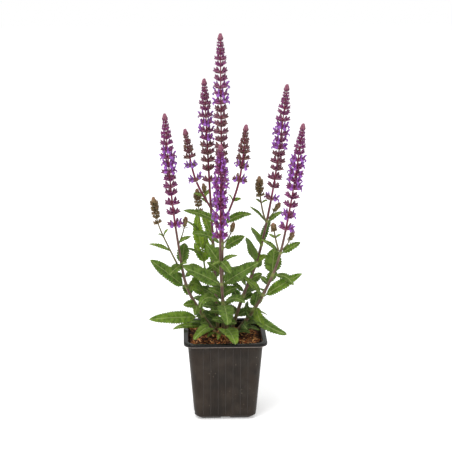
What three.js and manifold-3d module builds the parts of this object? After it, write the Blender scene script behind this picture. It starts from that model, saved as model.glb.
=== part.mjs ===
// A potted woodland sage: a square black nursery pot, the potting mix in it, the plant's woody crown,
// six flowering stems with two branches, their flower spikes, four side shoots and the larger leaves.
// Millimetres, +Z up. The origin is the middle of the pot's foot on the surface that it stands on.

import * as THREE from "three";
import { mergeVertices } from "three/addons/utils/BufferGeometryUtils.js";
import Module from "manifold-3d";

const wasm = await Module();
wasm.setup();

// ---------------------------------------------------------------- driving dimensions

const GAP = 0.35; // air between pieces that touch on the real plant

const POT = {
  height: 90,
  rimWidth: 90, // across the outside of the rim
  rimCorner: 11,
  lipDrop: 3.2, // the turned-down edge of the rim
  lipOverhang: 4.6, // the rim stands out this far past the wall below it
  rimRoll: 0.9, // rounding of the rim's top edges
  wall: 0.9,
  footWidth: 66,
  footCorner: 8,
  footBevel: 3.5,
  floor: 3,
  ribs: 7, // raised lines on each side, level with each other from foot to rim
  ribPitch: 8,
  ribHeight: 0.45,
  ribWidth: 1.6,
  channelWidth: 10,
  channelDepth: 2.2,
  drainRadius: 3.5,
  drainSpacing: 38,
};

const MIX = { level: 81, mound: 3.5, moundShare: 0.45 };

const CROWN = { x: 2, y: 9, radius: 11, stretch: 1.55, bottom: 68, top: 87 };

const STEM = { sides: 8, steps: 8, baseRadius: 1.9, tipRadius: 1.15 };

const SPIKE = {
  sides: 6,
  rachis: 1.0,
  budLength: 8, // the closed tip
  budRadius: 2.9,
  firstGap: 3.4, // between the two topmost whorls
  gapGrowth: 0.12, // by the square of the number of whorls above
  largestGap: 8.2,
  looseGaps: [10, 12], // the lowest ones, downwards
  firstRadius: 3.9,
  radiusGrowth: 0.45,
  largestRadius: 7.4,
};

const LEAF = {
  thickness: 0.9,
  stalkWidth: 1.8,
  fold: 0.2, // how far the edges stand above the midrib, as a share of the half width
  stalk: 0.05, // the leaf's stalk, as a share of its length, where a leaf states none
  tipWidth: 1.6,
};
// Shares of a blade's length, and of its greatest width there.
const BLADE = [[0.08, 0.56], [0.22, 0.92], [0.42, 1], [0.64, 0.88], [0.85, 0.55]];

// Each stem runs through these points, from its foot on the crown to its tip. Flowers start at spikeFrom.
const STEMS = {
  tall: {
    path: [[-1, 18, 87.6], [-2, 15, 150], [-2, 13, 210], [-3, 12, 300], [-4, 12, 414]],
    spikeFrom: 252,
  },
  rear: {
    path: [[-7, 17, 87.7], [-10, 21, 150], [-14, 23, 222], [-18, 24, 300], [-21, 24, 365]],
    spikeFrom: 252,
    looseGaps: [9.8, 12],
  },
  left: {
    path: [[-12, 8, 88.6], [-27, 6, 112], [-41, 5, 140], [-50, 3, 190], [-56, 1, 238], [-63, 0, 332]],
    spikeFrom: 208,
    looseGaps: [11, 11, 14],
  },
  front: {
    path: [[2, 1, 88.1], [-2, -10, 127], [-5, -19, 175], [-5, -26, 240], [-5, -28, 304]],
    spikeFrom: 201,
    looseGaps: [10.5, 11, 12.5],
  },
  right: {
    path: [[9, 15, 88.2], [21, 19, 124], [36, 22, 162], [47, 24, 208], [57, 26, 265], [68, 28, 358]],
    spikeFrom: 230,
    looseGaps: [11, 10, 15],
  },
  far_right: {
    path: [[15, 7, 88.7], [33, 4, 114], [52, -2, 154], [60, -5, 180], [70, -9, 234], [82, -14, 323]],
    spikeFrom: 205,
    looseGaps: [10, 10, 12.5, 15],
  },
};

// Branches leave the tall stem as a pair, just above its upper leaves.
const BRANCHES = {
  branch_left: {
    path: [[-4.4, 14, 212], [-17, 20, 229], [-31, 26, 256], [-42, 30, 310]],
    spikeFrom: 252,
    radius: 1.1,
    looseGaps: [11, 17],
  },
  branch_right: {
    path: [[0.2, 12, 212], [5, 9, 223], [16, 3, 259], [23, -2, 320]],
    spikeFrom: 256,
    radius: 1.1,
    looseGaps: [9.4, 18],
  },
};

// Side shoots: a thin stalk with a young spike of its own, in one piece.
const SHOOTS = {
  shoot_left: {
    path: [[-51.6, 0, 168], [-58, -2, 182], [-71, -6, 214], [-76, -8, 244]],
    spikeFrom: 213,
    looseGaps: [8],
  },
  shoot_back: {
    path: [[-9, 24, 97], [-19, 33, 140], [-24, 38, 183], [-29, 43, 241]],
    spikeFrom: 214,
    looseGaps: [5, 7],
  },
  shoot_right: {
    path: [[45, 21.6, 210], [42, 21, 221], [39, 19, 240], [38, 18, 260]],
    spikeFrom: 236,
    looseGaps: [5],
  },
  shoot_far_right: {
    path: [[58, -8, 183], [55, -10, 194], [53, -12, 204], [51, -14, 216]],
    spikeFrom: 205,
    looseGaps: [],
  },
};
const SHOOT_STALK = 0.8;
const SHOOT_WHORL = 4.2;

// Leaves: the stem and height that each grows from, its tip, its greatest width, the point that its
// midrib passes halfway (or how far it arches there, as a share of its length), and how many degrees
// its upper face turns from the sky towards the front.
const LEAVES = {
  left_1: { on: "left", z: 106, tip: [-82, -14, 109], width: 15, arch: 0.05, tilt: 58, stalk: 0.12 },
  left_2: { on: "left", z: 140, tip: [-80, -8, 174], width: 17, arch: 0.03, tilt: 60, stalk: 0.07 },
  left_3: { on: "left", z: 140, tip: [-19, 28, 119], width: 19, via: [-29, 17, 138], tilt: 45, stalk: 0.2 },
  left_4: { on: "left", z: 165, tip: [-43, 20, 185], width: 15, arch: 0.05, tilt: 0 },
  front_1: { on: "front", z: 124, tip: [2, -46, 113], width: 19, arch: 0.15, tilt: 0 },
  front_2: { on: "front", z: 127, tip: [-28, -30, 127], width: 12, via: [-19, -20, 135], tilt: 40 },
  front_3: { on: "front", z: 127, tip: [21, -28, 131], width: 11, via: [11, -20, 134], tilt: 40 },
  front_4: { on: "front", z: 149, tip: [-44, -34, 173], width: 18, arch: 0.04, tilt: 58 },
  front_5: { on: "front", z: 149, tip: [35, -32, 177], width: 18, arch: 0.03, tilt: 58 },
  front_6: { on: "front", z: 175, tip: [-20, -16, 194], width: 13, arch: 0.06, tilt: 60 },
  front_7: { on: "front", z: 175, tip: [13, -29, 184], width: 7, arch: 0.12, tilt: 35 },
  tall_1: { on: "tall", z: 118, tip: [-6, 51, 113], width: 16, arch: 0.2, tilt: 0 },
  tall_2: { on: "tall", z: 148, tip: [30, 48, 146], width: 16, arch: 0.1, tilt: 0 },
  tall_3: { on: "tall", z: 186, tip: [-35, 1, 201], width: 12, arch: 0.12, tilt: 35 },
  tall_4: { on: "tall", z: 181, tip: [22, 5, 196], width: 14, arch: 0.06, tilt: 55 },
  tall_5: { on: "tall", z: 208, tip: [-44, 2, 226], width: 11, arch: 0.1, tilt: 40 },
  tall_6: { on: "tall", z: 208, tip: [30, 12, 219], width: 11, arch: 0.16, tilt: 40 },
  rear_1: { on: "rear", z: 140, tip: [-56, 36, 152], width: 15, arch: 0.15, tilt: 0 },
  rear_2: { on: "rear", z: 156, tip: [-6, 50, 172], width: 14, arch: 0.1, tilt: 0 },
  rear_3: { on: "rear", z: 182, tip: [-24, 50, 214], width: 11, arch: 0.08, tilt: 0 },
  right_1: { on: "right", z: 124, tip: [48, 46, 118], width: 15, arch: 0.2, tilt: 0 },
  right_2: { on: "right", z: 162, tip: [24, 8, 194], width: 14, arch: 0.03, tilt: 0 },
  right_3: { on: "right", z: 182, tip: [29, 6, 206], width: 10, arch: 0.05, tilt: 0 },
  right_4: { on: "right", z: 182, tip: [52, 42, 204], width: 10, arch: 0.1, tilt: 0 },
  right_5: { on: "right", z: 208, tip: [28, 18, 226], width: 6, arch: 0.05, tilt: 40 },
  right_6: { on: "right", z: 208, tip: [64, 26, 218], width: 7, arch: 0.1, tilt: 40 },
  far_right_1: { on: "far_right", z: 113, tip: [66, -28, 95], width: 14, via: [42, -17, 104], tilt: 30 },
  far_right_2: { on: "far_right", z: 114, tip: [39, 26, 128], width: 15, arch: 0.04, tilt: 0 },
  far_right_3: { on: "far_right", z: 131, tip: [83, -14, 159], width: 14, arch: 0.04, tilt: 58 },
  far_right_4: { on: "far_right", z: 131, tip: [19, -18, 157], width: 12, arch: 0.05, tilt: 58 },
  far_right_5: { on: "far_right", z: 154, tip: [55, 15, 180], width: 20, arch: 0, tilt: 0 },
  far_right_6: { on: "far_right", z: 155, tip: [73, -24, 149], width: 9, via: [65, -15, 156], tilt: 35 },
  far_right_7: { on: "far_right", z: 180, tip: [39, -12, 197], width: 7, arch: 0.08, tilt: 50 },
  far_right_8: { on: "far_right", z: 180, tip: [82, 1, 190], width: 9, arch: 0.06, tilt: 50 },
};

// Basal leaves grow from the crown's side, on longer stalks.
const BASAL = {
  basal_1: { root: [-13, 1, 88], tip: [-34, -30, 91], width: 14, arch: 0.28, tilt: 20, stalk: 0.15 },
  basal_2: { root: [-4, -4, 88], tip: [10, -51, 93], width: 21, arch: 0.2, tilt: 0, stalk: 0.15 },
  basal_3: { root: [-17, 14, 88], tip: [-57, 16, 87], width: 8, arch: 0.2, tilt: 40, stalk: 0.2 },
};

// ---------------------------------------------------------------- colours

const finish = (color, roughness, metalness = 0) =>
  new THREE.MeshStandardMaterial({ color, roughness, metalness });
const MATERIALS = {
  pot: finish(0x2c2825, 0.45),
  mix: finish(0x4a2616, 0.95),
  crown: finish(0x6b5a32, 0.85),
  stem: finish(0x5f4247, 0.7),
  spike: finish(0x5b2148, 0.75),
  leaf: finish(0x4c7030, 0.65),
};

// ---------------------------------------------------------------- shared geometry

const vec = (p) => new THREE.Vector3(...p);
const UP = new THREE.Vector3(0, 0, 1);

// A closed skin over rings of equally many points, with both ends capped.
function skin(rings) {
  const count = rings[0].length;
  const positions = rings.flat().flatMap((p) => [p.x, p.y, p.z]);
  const index = [];
  for (let r = 0; r < rings.length - 1; r++) {
    for (let i = 0; i < count; i++) {
      const a = r * count + i;
      const b = r * count + ((i + 1) % count);
      index.push(a, b, b + count, a, b + count, a + count);
    }
  }
  const last = (rings.length - 1) * count;
  for (const [a, b, c] of capOf(rings[0])) index.push(a, c, b);
  for (const [a, b, c] of capOf(rings.at(-1))) index.push(last + a, last + b, last + c);
  const geometry = new THREE.BufferGeometry();
  geometry.setAttribute("position", new THREE.Float32BufferAttribute(positions, 3));
  geometry.setIndex(index);
  return geometry;
}

// The triangles that close one ring, found in the ring's own plane.
function capOf(ring) {
  const centre = ring.reduce((sum, p) => sum.add(p), new THREE.Vector3()).divideScalar(ring.length);
  const normal = new THREE.Vector3();
  ring.forEach((p, i) => {
    const next = ring[(i + 1) % ring.length];
    normal.add(p.clone().sub(centre).cross(next.clone().sub(centre)));
  });
  normal.normalize();
  const u = ring[0].clone().sub(centre).normalize();
  const v = normal.clone().cross(u);
  const flat = ring.map((p) => {
    const d = p.clone().sub(centre);
    return new THREE.Vector2(d.dot(u), d.dot(v));
  });
  return THREE.ShapeUtils.triangulateShape(flat, []);
}

// A solid of round sections strung along a curve: each section is a share of its length and a radius.
function sweep(curve, sections, sides) {
  const rings = sections.map(({ at, radius }) => {
    const centre = curve.getPointAt(THREE.MathUtils.clamp(at, 0, 1));
    const along = curve.getTangentAt(THREE.MathUtils.clamp(at, 0, 1));
    const u = new THREE.Vector3(0, 1, 0).cross(along).normalize();
    const v = along.clone().cross(u);
    return Array.from({ length: sides }, (_, i) => {
      const turn = ((i + 0.5) / sides) * Math.PI * 2;
      return centre
        .clone()
        .addScaledVector(u, radius * Math.cos(turn))
        .addScaledVector(v, radius * Math.sin(turn));
    });
  });
  return skin(rings);
}

// The share of a rising curve's length at which it passes a height.
function shareAtHeight(curve, z) {
  let low = 0;
  let high = 1;
  for (let i = 0; i < 30; i++) {
    const middle = (low + high) / 2;
    if (curve.getPointAt(middle).z < z) low = middle;
    else high = middle;
  }
  return (low + high) / 2;
}

function solidOf(geometry) {
  const bare = geometry.index ? geometry : mergeVertices(geometry, 1e-4);
  bare.deleteAttribute("normal");
  bare.deleteAttribute("uv");
  const merged = mergeVertices(bare, 1e-4);
  const mesh = new wasm.Mesh({
    numProp: 3,
    vertProperties: Float32Array.from(merged.attributes.position.array),
    triVerts: Uint32Array.from(merged.index.array),
  });
  return new wasm.Manifold(mesh);
}

function geometryOf(solid) {
  const { vertProperties, triVerts } = solid.getMesh();
  const geometry = new THREE.BufferGeometry();
  geometry.setAttribute("position", new THREE.BufferAttribute(vertProperties, 3));
  geometry.setIndex(new THREE.BufferAttribute(triVerts, 1));
  return geometry;
}

function piece(name, geometry, material) {
  const mesh = new THREE.Mesh(geometry, material);
  mesh.name = name;
  return mesh;
}

// ---------------------------------------------------------------- pot and potting mix

// A square with round corners at one height. Each side has room for ribs, which stand out by ribHeight.
function potRing(width, corner, z, ribHeight = 0, ribs = POT.ribs) {
  const half = width / 2;
  const ring = [];
  for (let side = 0; side < 4; side++) {
    const turn = (side * Math.PI) / 2;
    const place = (along, out) =>
      new THREE.Vector3(
        out * Math.sin(turn) + along * Math.cos(turn),
        -out * Math.cos(turn) + along * Math.sin(turn),
        z,
      );
    for (let rib = 0; rib < ribs; rib++) {
      const centre = (rib - (ribs - 1) / 2) * POT.ribPitch;
      ring.push(place(centre - POT.ribWidth / 2, half));
      ring.push(place(centre, half + ribHeight));
      ring.push(place(centre + POT.ribWidth / 2, half));
    }
    const square = half - corner;
    for (let step = 0; step <= 4; step++) {
      const angle = (step / 4) * (Math.PI / 2);
      ring.push(place(square + corner * Math.sin(angle), square + corner * Math.cos(angle)));
    }
  }
  return ring;
}

// The wall's outside width, corner radius at a height, between the foot and the rim's underside.
function wallAt(z) {
  const top = POT.height - POT.lipDrop;
  const topWidth = POT.rimWidth - 2 * POT.lipOverhang;
  return {
    width: THREE.MathUtils.mapLinear(z, 0, top, POT.footWidth, topWidth),
    corner: THREE.MathUtils.mapLinear(z, 0, top, POT.footCorner, POT.rimCorner - 2),
  };
}

function makePot() {
  const { height, rimWidth, rimCorner, lipDrop, rimRoll, wall, floor, ribHeight } = POT;
  const outside = (z, rib) => potRing(wallAt(z).width, wallAt(z).corner, z, rib);
  const inside = (z) => potRing(wallAt(z).width - 2 * wall, wallAt(z).corner - wall, z);
  const bevel = wallAt(POT.footBevel).width - 2 * POT.footBevel;
  const rings = [
    potRing(bevel, POT.footCorner - POT.footBevel, 0),
    outside(POT.footBevel, 0),
    outside(POT.footBevel + 2, ribHeight),
    outside(height - lipDrop - 4, ribHeight),
    outside(height - lipDrop - 2.5, 0),
    outside(height - wall - 0.2, 0),
    potRing(rimWidth - 2 * wall, rimCorner - wall, height - wall - 0.2),
    potRing(rimWidth - 2 * wall, rimCorner - wall, height - lipDrop),
    potRing(rimWidth, rimCorner, height - lipDrop),
    potRing(rimWidth, rimCorner, height - rimRoll),
    potRing(rimWidth - 2 * rimRoll, rimCorner - rimRoll, height),
    potRing(wallAt(height).width - 2 * wall + 2 * rimRoll, rimCorner - 2, height),
    inside(height - rimRoll),
    inside(floor),
  ];
  let solid = solidOf(skin(rings));
  for (const turn of [0, Math.PI / 2]) {
    const channel = new THREE.BoxGeometry(POT.rimWidth, POT.channelWidth, 2 * POT.channelDepth);
    solid = solid.subtract(solidOf(channel.rotateZ(turn)));
  }
  for (const [x, y] of [[0, 0], [-1, -1], [1, -1], [-1, 1], [1, 1]]) {
    const drain = new THREE.CylinderGeometry(POT.drainRadius, POT.drainRadius, 4 * floor, 10);
    drain.rotateX(Math.PI / 2).translate((x * POT.drainSpacing) / 2, (y * POT.drainSpacing) / 2, 0);
    solid = solid.subtract(solidOf(drain));
  }
  return piece("nursery_pot", geometryOf(solid), MATERIALS.pot);
}

function crownGeometry(spare) {
  const { radius, bottom, top } = CROWN;
  const profile = [
    [0, bottom - spare],
    [radius * 0.55 + spare, bottom + 2 - spare],
    [radius * 0.9 + spare, bottom + 9],
    [radius + spare, top - 3],
    [radius * 0.93 + spare, top + spare],
    [0, top + spare],
  ];
  const lathe = new THREE.LatheGeometry(profile.map(([r, z]) => new THREE.Vector2(r, z)), 16);
  return lathe
    .rotateX(Math.PI / 2)
    .scale(CROWN.stretch, 1, 1)
    .translate(CROWN.x, CROWN.y, 0);
}

function makeCrown() {
  return piece("root_crown", geometryOf(solidOf(crownGeometry(0))), MATERIALS.crown);
}

function makePottingMix() {
  const section = (z, share = 1) => {
    const { width, corner } = wallAt(z);
    return potRing((width - 2 * POT.wall - 2 * GAP) * share, corner * share, z, 0, 0);
  };
  const floor = POT.floor + GAP;
  const rings = [
    section(floor),
    section(MIX.level),
    section(MIX.level, MIX.moundShare).map((p) => p.setZ(MIX.level + MIX.mound)),
  ];
  const solid = solidOf(skin(rings)).subtract(solidOf(crownGeometry(GAP)));
  return piece("potting_mix", geometryOf(solid), MATERIALS.mix);
}

// ---------------------------------------------------------------- stems and flowers

const curveThrough = (path) => new THREE.CatmullRomCurve3(path.map(vec), false, "centripetal");

function stemRadius(share, base = STEM.baseRadius) {
  return THREE.MathUtils.lerp(base, Math.min(base, STEM.tipRadius), share);
}

function makeStem(name, { path, spikeFrom, radius }) {
  const curve = curveThrough(path);
  const end = shareAtHeight(curve, spikeFrom) - GAP / curve.getLength();
  const sections = Array.from({ length: STEM.steps + 1 }, (_, i) => {
    const at = (end * i) / STEM.steps;
    return { at, radius: stemRadius(at / end, radius) };
  });
  return piece(name, sweep(curve, sections, STEM.sides), MATERIALS.stem);
}

// Whorls from the closed tip down, closest together and smallest at the top. The last one is at the foot.
function whorlSections(curve, from, largestRadius, looseGaps) {
  const length = curve.getLength();
  const budLength = Math.min(SPIKE.budLength, (1 - from) * length * 0.4);
  const span = (1 - from) * length - budLength;
  const loose = looseGaps.reduce((sum, gap) => sum + gap, 0);
  const gaps = [SPIKE.firstGap];
  for (let total = SPIKE.firstGap; total < span - loose; total += gaps.at(-1)) {
    gaps.push(Math.min(SPIKE.largestGap, SPIKE.firstGap + SPIKE.gapGrowth * gaps.length ** 2));
  }
  gaps.push(...looseGaps);
  const drops = [0];
  for (const gap of gaps) drops.push(drops.at(-1) + gap);
  const fit = (span - 1) / drops.at(-1);
  const sections = [{ at: from, radius: SPIKE.rachis }];
  for (let k = drops.length - 1; k >= 0; k--) {
    const radius = Math.min(largestRadius, SPIKE.firstRadius + SPIKE.radiusGrowth * k);
    const room = k ? (drops[k] - drops[k - 1]) * fit : SPIKE.firstGap * fit;
    const cup = Math.min(radius * 0.75, room * 0.75);
    const foot = from * length + 1 + (drops.at(-1) - drops[k]) * fit;
    sections.push({ at: foot / length, radius: SPIKE.rachis });
    sections.push({ at: (foot + cup) / length, radius });
    sections.push({ at: (foot + cup + 0.4) / length, radius: SPIKE.rachis * 1.3 });
  }
  const bud = 1 - (budLength - SPIKE.firstGap * fit) / length;
  sections.push({ at: Math.min(bud + 1 / length, (1 + bud) / 2), radius: SPIKE.budRadius });
  sections.push({ at: (1 + bud) / 2 + 0.5 / length, radius: SPIKE.budRadius * 0.85 });
  sections.push({ at: 1, radius: 0.5 });
  return sections;
}

function makeSpike(name, { path, spikeFrom, looseGaps = SPIKE.looseGaps }) {
  const curve = curveThrough(path);
  const from = shareAtHeight(curve, spikeFrom);
  const sections = whorlSections(curve, from, SPIKE.largestRadius, looseGaps);
  return piece(name, sweep(curve, sections, SPIKE.sides), MATERIALS.spike);
}

function makeShoot(name, { path, spikeFrom, looseGaps }) {
  const curve = curveThrough(path);
  const from = shareAtHeight(curve, spikeFrom);
  const stalk = [0, 0.25, 0.5, 0.75].map((share) => ({ at: from * share, radius: SHOOT_STALK }));
  const sections = [...stalk, ...whorlSections(curve, from, SHOOT_WHORL, looseGaps)];
  return piece(name, sweep(curve, sections, SPIKE.sides), MATERIALS.spike);
}

// ---------------------------------------------------------------- leaves

// A leaf: rings of left edge, midrib top, right edge and midrib underside, strung along its midrib.
function makeLeaf(name, base, { tip, width, via, arch, tilt, stalk = LEAF.stalk }) {
  const end = vec(tip);
  const chord = end.clone().sub(base);
  const flat = chord.clone().cross(UP).normalize();
  const front = flat.y > 0 ? 1 : -1;
  const turn = THREE.MathUtils.degToRad(-tilt * front);
  const across = flat.clone().applyAxisAngle(chord.clone().normalize(), turn);
  const lift = across.clone().cross(chord).normalize();
  const middle = base.clone().lerp(end, 0.5);
  const passes = via ? vec(via) : middle.clone().addScaledVector(lift, arch * chord.length());
  const control = passes.multiplyScalar(2).sub(middle);
  const midrib = new THREE.QuadraticBezierCurve3(base, control, end);
  const ring = (share, half) => {
    const along = midrib.getTangent(share);
    const side = across.clone().addScaledVector(along, -across.dot(along)).normalize();
    const face = side.clone().cross(along).normalize();
    const centre = midrib.getPoint(share);
    const thick = (LEAF.thickness / 2) * Math.min(1, half / LEAF.stalkWidth + 0.3);
    const edge = (sign) =>
      centre
        .clone()
        .addScaledVector(side, sign * half)
        .addScaledVector(face, LEAF.fold * half);
    return [
      edge(-1),
      centre.clone().addScaledVector(face, thick),
      edge(1),
      centre.clone().addScaledVector(face, -thick),
    ];
  };
  const rings = [
    ring(0, LEAF.stalkWidth / 2),
    ring(stalk, LEAF.stalkWidth / 2),
    ...BLADE.map(([share, part]) => ring(stalk + (1 - stalk) * share, (part * width) / 2)),
    ring(1, LEAF.tipWidth / 2),
  ];
  return piece(name, skin(rings), MATERIALS.leaf);
}

// Where a leaf meets its stem: just clear of the stem's skin, on the side that its tip is on.
function rootOn(stem, { z, tip }) {
  const curve = curveThrough(stem.path);
  const share = shareAtHeight(curve, z);
  const centre = curve.getPointAt(share);
  const along = curve.getTangentAt(share);
  const out = vec(tip).sub(centre);
  out.addScaledVector(along, -out.dot(along)).normalize();
  const flowering = shareAtHeight(curve, stem.spikeFrom);
  return centre.addScaledVector(out, stemRadius(share / flowering) + GAP + LEAF.thickness / 2);
}

// ---------------------------------------------------------------- the plant in its pot

const plant = new THREE.Group();
plant.add(makePot(), makePottingMix(), makeCrown());
for (const [name, stem] of Object.entries(STEMS)) {
  plant.add(makeStem(`stem_${name}`, stem), makeSpike(`spike_${name}`, stem));
}
for (const [name, branch] of Object.entries(BRANCHES)) {
  plant.add(makeStem(name, branch), makeSpike(`spike_${name}`, branch));
}
for (const [name, shoot] of Object.entries(SHOOTS)) {
  plant.add(makeShoot(name, shoot));
}
for (const [name, leaf] of Object.entries(LEAVES)) {
  plant.add(makeLeaf(`leaf_${name}`, rootOn(STEMS[leaf.on], leaf), leaf));
}
for (const [name, leaf] of Object.entries(BASAL)) {
  plant.add(makeLeaf(`leaf_${name}`, vec(leaf.root), leaf));
}

export default plant;
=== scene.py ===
import math
import random

import bmesh
import bpy
import numpy as np
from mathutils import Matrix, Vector


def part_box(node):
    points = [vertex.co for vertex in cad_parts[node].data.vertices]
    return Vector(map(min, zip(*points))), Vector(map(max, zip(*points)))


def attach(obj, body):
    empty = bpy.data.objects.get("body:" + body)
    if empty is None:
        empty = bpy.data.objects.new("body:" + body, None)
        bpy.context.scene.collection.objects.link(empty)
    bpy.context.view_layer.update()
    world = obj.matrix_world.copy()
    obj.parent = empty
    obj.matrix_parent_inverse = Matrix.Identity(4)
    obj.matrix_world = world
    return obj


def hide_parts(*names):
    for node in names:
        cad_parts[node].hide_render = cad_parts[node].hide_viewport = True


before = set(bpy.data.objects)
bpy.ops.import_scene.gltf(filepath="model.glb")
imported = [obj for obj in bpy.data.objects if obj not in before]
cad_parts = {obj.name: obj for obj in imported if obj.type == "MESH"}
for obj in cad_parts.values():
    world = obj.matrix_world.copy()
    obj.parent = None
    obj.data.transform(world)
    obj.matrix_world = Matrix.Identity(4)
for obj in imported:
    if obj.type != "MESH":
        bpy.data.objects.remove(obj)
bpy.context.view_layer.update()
MM = 0.001
CM = 100  # centimetres in a metre, for the maps that patterns follow

# ---------------------------------------------------------------- camera, floor and light

VIEW_AZIMUTH = math.radians(-1.9)
VIEW_ELEVATION = math.radians(14.7)
VIEW_TARGET = Vector((0.0016, 0.0, 0.209))
VIEW_DISTANCE = 1.4
VIEW_LENS = 103.9


def direction(azimuth, elevation):
    """The way towards a viewer who looks along +Y at azimuth 0."""
    level = math.cos(elevation)
    return Vector((math.sin(azimuth) * level, -math.cos(azimuth) * level, math.sin(elevation)))


def in_scene(name, data):
    """An object for a mesh, camera or light, at the origin."""
    made = bpy.data.objects.new(name, data)
    bpy.context.scene.collection.objects.link(made)
    return made


def aimed(name, data, place, target):
    """A camera or light at a place, turned to a target."""
    made = in_scene(name, data)
    made.location = place
    made.rotation_euler = (Vector(place) - Vector(target)).to_track_quat("Z", "Y").to_euler()
    return made


def soft_light(name, azimuth, elevation, distance, size, power):
    """A round lamp aimed at the plant, its direction given in degrees."""
    lamp = bpy.data.lights.new(name, "AREA")
    lamp.shape = "DISK"
    lamp.size = size
    lamp.energy = power
    place = VIEW_TARGET + direction(math.radians(azimuth), math.radians(elevation)) * distance
    return aimed(name, lamp, place, VIEW_TARGET)


camera_data = bpy.data.cameras.new("camera")
camera_data.sensor_width = 36
camera_data.lens = VIEW_LENS
away = direction(VIEW_AZIMUTH, VIEW_ELEVATION) * VIEW_DISTANCE
bpy.context.scene.camera = aimed("camera", camera_data, VIEW_TARGET + away, VIEW_TARGET)
bpy.context.scene.view_settings.view_transform = "Standard"

soft_light("key_light", -35, 55, 1.6, 0.9, 13)
soft_light("fill_light", 55, 30, 1.8, 1.5, 2)
soft_light("back_light", 170, 45, 1.8, 1.4, 8)
world = bpy.data.worlds.new("studio")
world.use_nodes = True
bpy.context.scene.world = world

# ---------------------------------------------------------------- node helpers


def add(tree, kind, inputs=(), **settings):
    """Adds a node with its settings and its inputs, each a value or another node's output."""
    made = tree.nodes.new(kind)
    for key, value in settings.items():
        setattr(made, key, value)
    for key, value in dict(inputs).items():
        socket = made.inputs[key]
        if isinstance(value, bpy.types.NodeSocket):
            tree.links.new(value, socket)
        else:
            socket.default_value = value
    return made


def calc(tree, operation, a, b=0.0, c=0.0):
    return add(tree, "ShaderNodeMath", {0: a, 1: b, 2: c}, operation=operation).outputs[0]


def times(tree, a, b):
    return calc(tree, "MULTIPLY", a, b)


def plus(tree, a, b):
    return calc(tree, "ADD", a, b)


def ramp(tree, value, low, high, start=0.0, end=1.0):
    """Start below low, end above high, and a smooth change between."""
    inputs = {"Value": value, "From Min": low, "From Max": high, "To Min": start, "To Max": end}
    return add(tree, "ShaderNodeMapRange", inputs, interpolation_type="SMOOTHSTEP").outputs[0]


def colour_mix(tree, share, a, b):
    """Colour a turning into colour b as share goes from 0 to 1."""
    a, b = ((*c, 1.0) if isinstance(c, tuple) and len(c) == 3 else c for c in (a, b))
    return add(tree, "ShaderNodeMix", {0: share, 6: a, 7: b}, data_type="RGBA").outputs[2]


def noise(tree, where, scale, detail):
    inputs = {"Vector": where, "Scale": scale, "Detail": detail}
    return add(tree, "ShaderNodeTexNoise", inputs).outputs["Fac"]


def effect_group(name, inputs, outputs):
    """An empty shader group with its inputs and outputs, each a name, a kind and a starting value."""
    group = bpy.data.node_groups.new(name, "ShaderNodeTree")
    for label, kind, start in inputs:
        socket = group.interface.new_socket(label, in_out="INPUT", socket_type="NodeSocket" + kind)
        socket.default_value = start
    for label, kind in outputs:
        group.interface.new_socket(label, in_out="OUTPUT", socket_type="NodeSocket" + kind)
    entry = group.nodes.new("NodeGroupInput")
    leave = group.nodes.new("NodeGroupOutput")
    return group, entry.outputs, leave.inputs


def material(name, **fixed):
    """A material, its node tree and its Principled shader, whose plain numbers and colours are set here."""
    made = bpy.data.materials.new(name)
    made.use_nodes = True
    shader = made.node_tree.nodes["Principled BSDF"]
    for key, value in fixed.items():
        shader.inputs[key.replace("_", " ").title().replace("Ior", "IOR")].default_value = value
    return made, made.node_tree, shader


def use(tree, group, **inputs):
    """Places a shared effect in a material. An input's name has _ for a space."""
    named = {key.replace("_", " "): value for key, value in inputs.items()}
    return add(tree, "ShaderNodeGroup", named, node_tree=group).outputs[0]


def attribute(tree, name):
    return add(tree, "ShaderNodeAttribute", attribute_name=name).outputs["Fac"]


def place_on(tree):
    return add(tree, "ShaderNodeTexCoord").outputs["Object"]


def map_of(tree, name):
    return add(tree, "ShaderNodeUVMap", uv_map=name).outputs[0]


def split(tree, vector):
    return add(tree, "ShaderNodeSeparateXYZ", {0: vector}).outputs


def feed(tree, source, socket):
    tree.links.new(source, socket)


def paint(tree, shader, colour):
    feed(tree, colour, shader.inputs["Base Color"])


# The backdrop is white to the eye and a little softer as a light.
sky = world.node_tree
seen = add(sky, "ShaderNodeLightPath").outputs["Is Camera Ray"]
sky.nodes["Background"].inputs["Color"].default_value = (1, 1, 1, 1)
feed(sky, ramp(sky, seen, 0.0, 1.0, 0.66, 1.0), sky.nodes["Background"].inputs["Strength"])

# ---------------------------------------------------------------- shared effects


def make_mottling():
    """Soft patches: a value that wanders round 0.5 over the surface."""
    group, entry, leave = effect_group(
        "mottling", [("Size", "Float", 0.01), ("Detail", "Float", 3.0)], [("Value", "Float")]
    )
    scale = calc(group, "DIVIDE", 1.0, entry["Size"])
    patches = noise(group, place_on(group), scale, entry["Detail"])
    feed(group, ramp(group, patches, 0.3, 0.7), leave["Value"])
    return group


def make_dust():
    """Pale specks and a thin film, thicker where the noise gathers it."""
    group, entry, leave = effect_group(
        "dust",
        [("Speck Size", "Float", 0.002), ("Film", "Float", 0.2), ("Specks", "Float", 0.5)],
        [("Mask", "Float")],
    )
    scale = calc(group, "DIVIDE", 1.0, entry["Speck Size"])
    cells = add(group, "ShaderNodeTexVoronoi", {"Vector": place_on(group), "Scale": scale})
    chosen = add(group, "ShaderNodeSeparateColor", {"Color": cells.outputs["Color"]}).outputs[0]
    rare = ramp(group, chosen, 0.93, 0.97)
    speck = times(group, ramp(group, cells.outputs["Distance"], 0.1, 0.3, 1.0, 0.0), rare)
    patches = noise(group, place_on(group), 60.0, 6.0)
    film = times(group, ramp(group, patches, 0.4, 0.75), entry["Film"])
    both = calc(group, "MULTIPLY_ADD", speck, entry["Specks"], film)
    feed(group, calc(group, "MINIMUM", both, 1.0), leave["Mask"])
    return group


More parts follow.
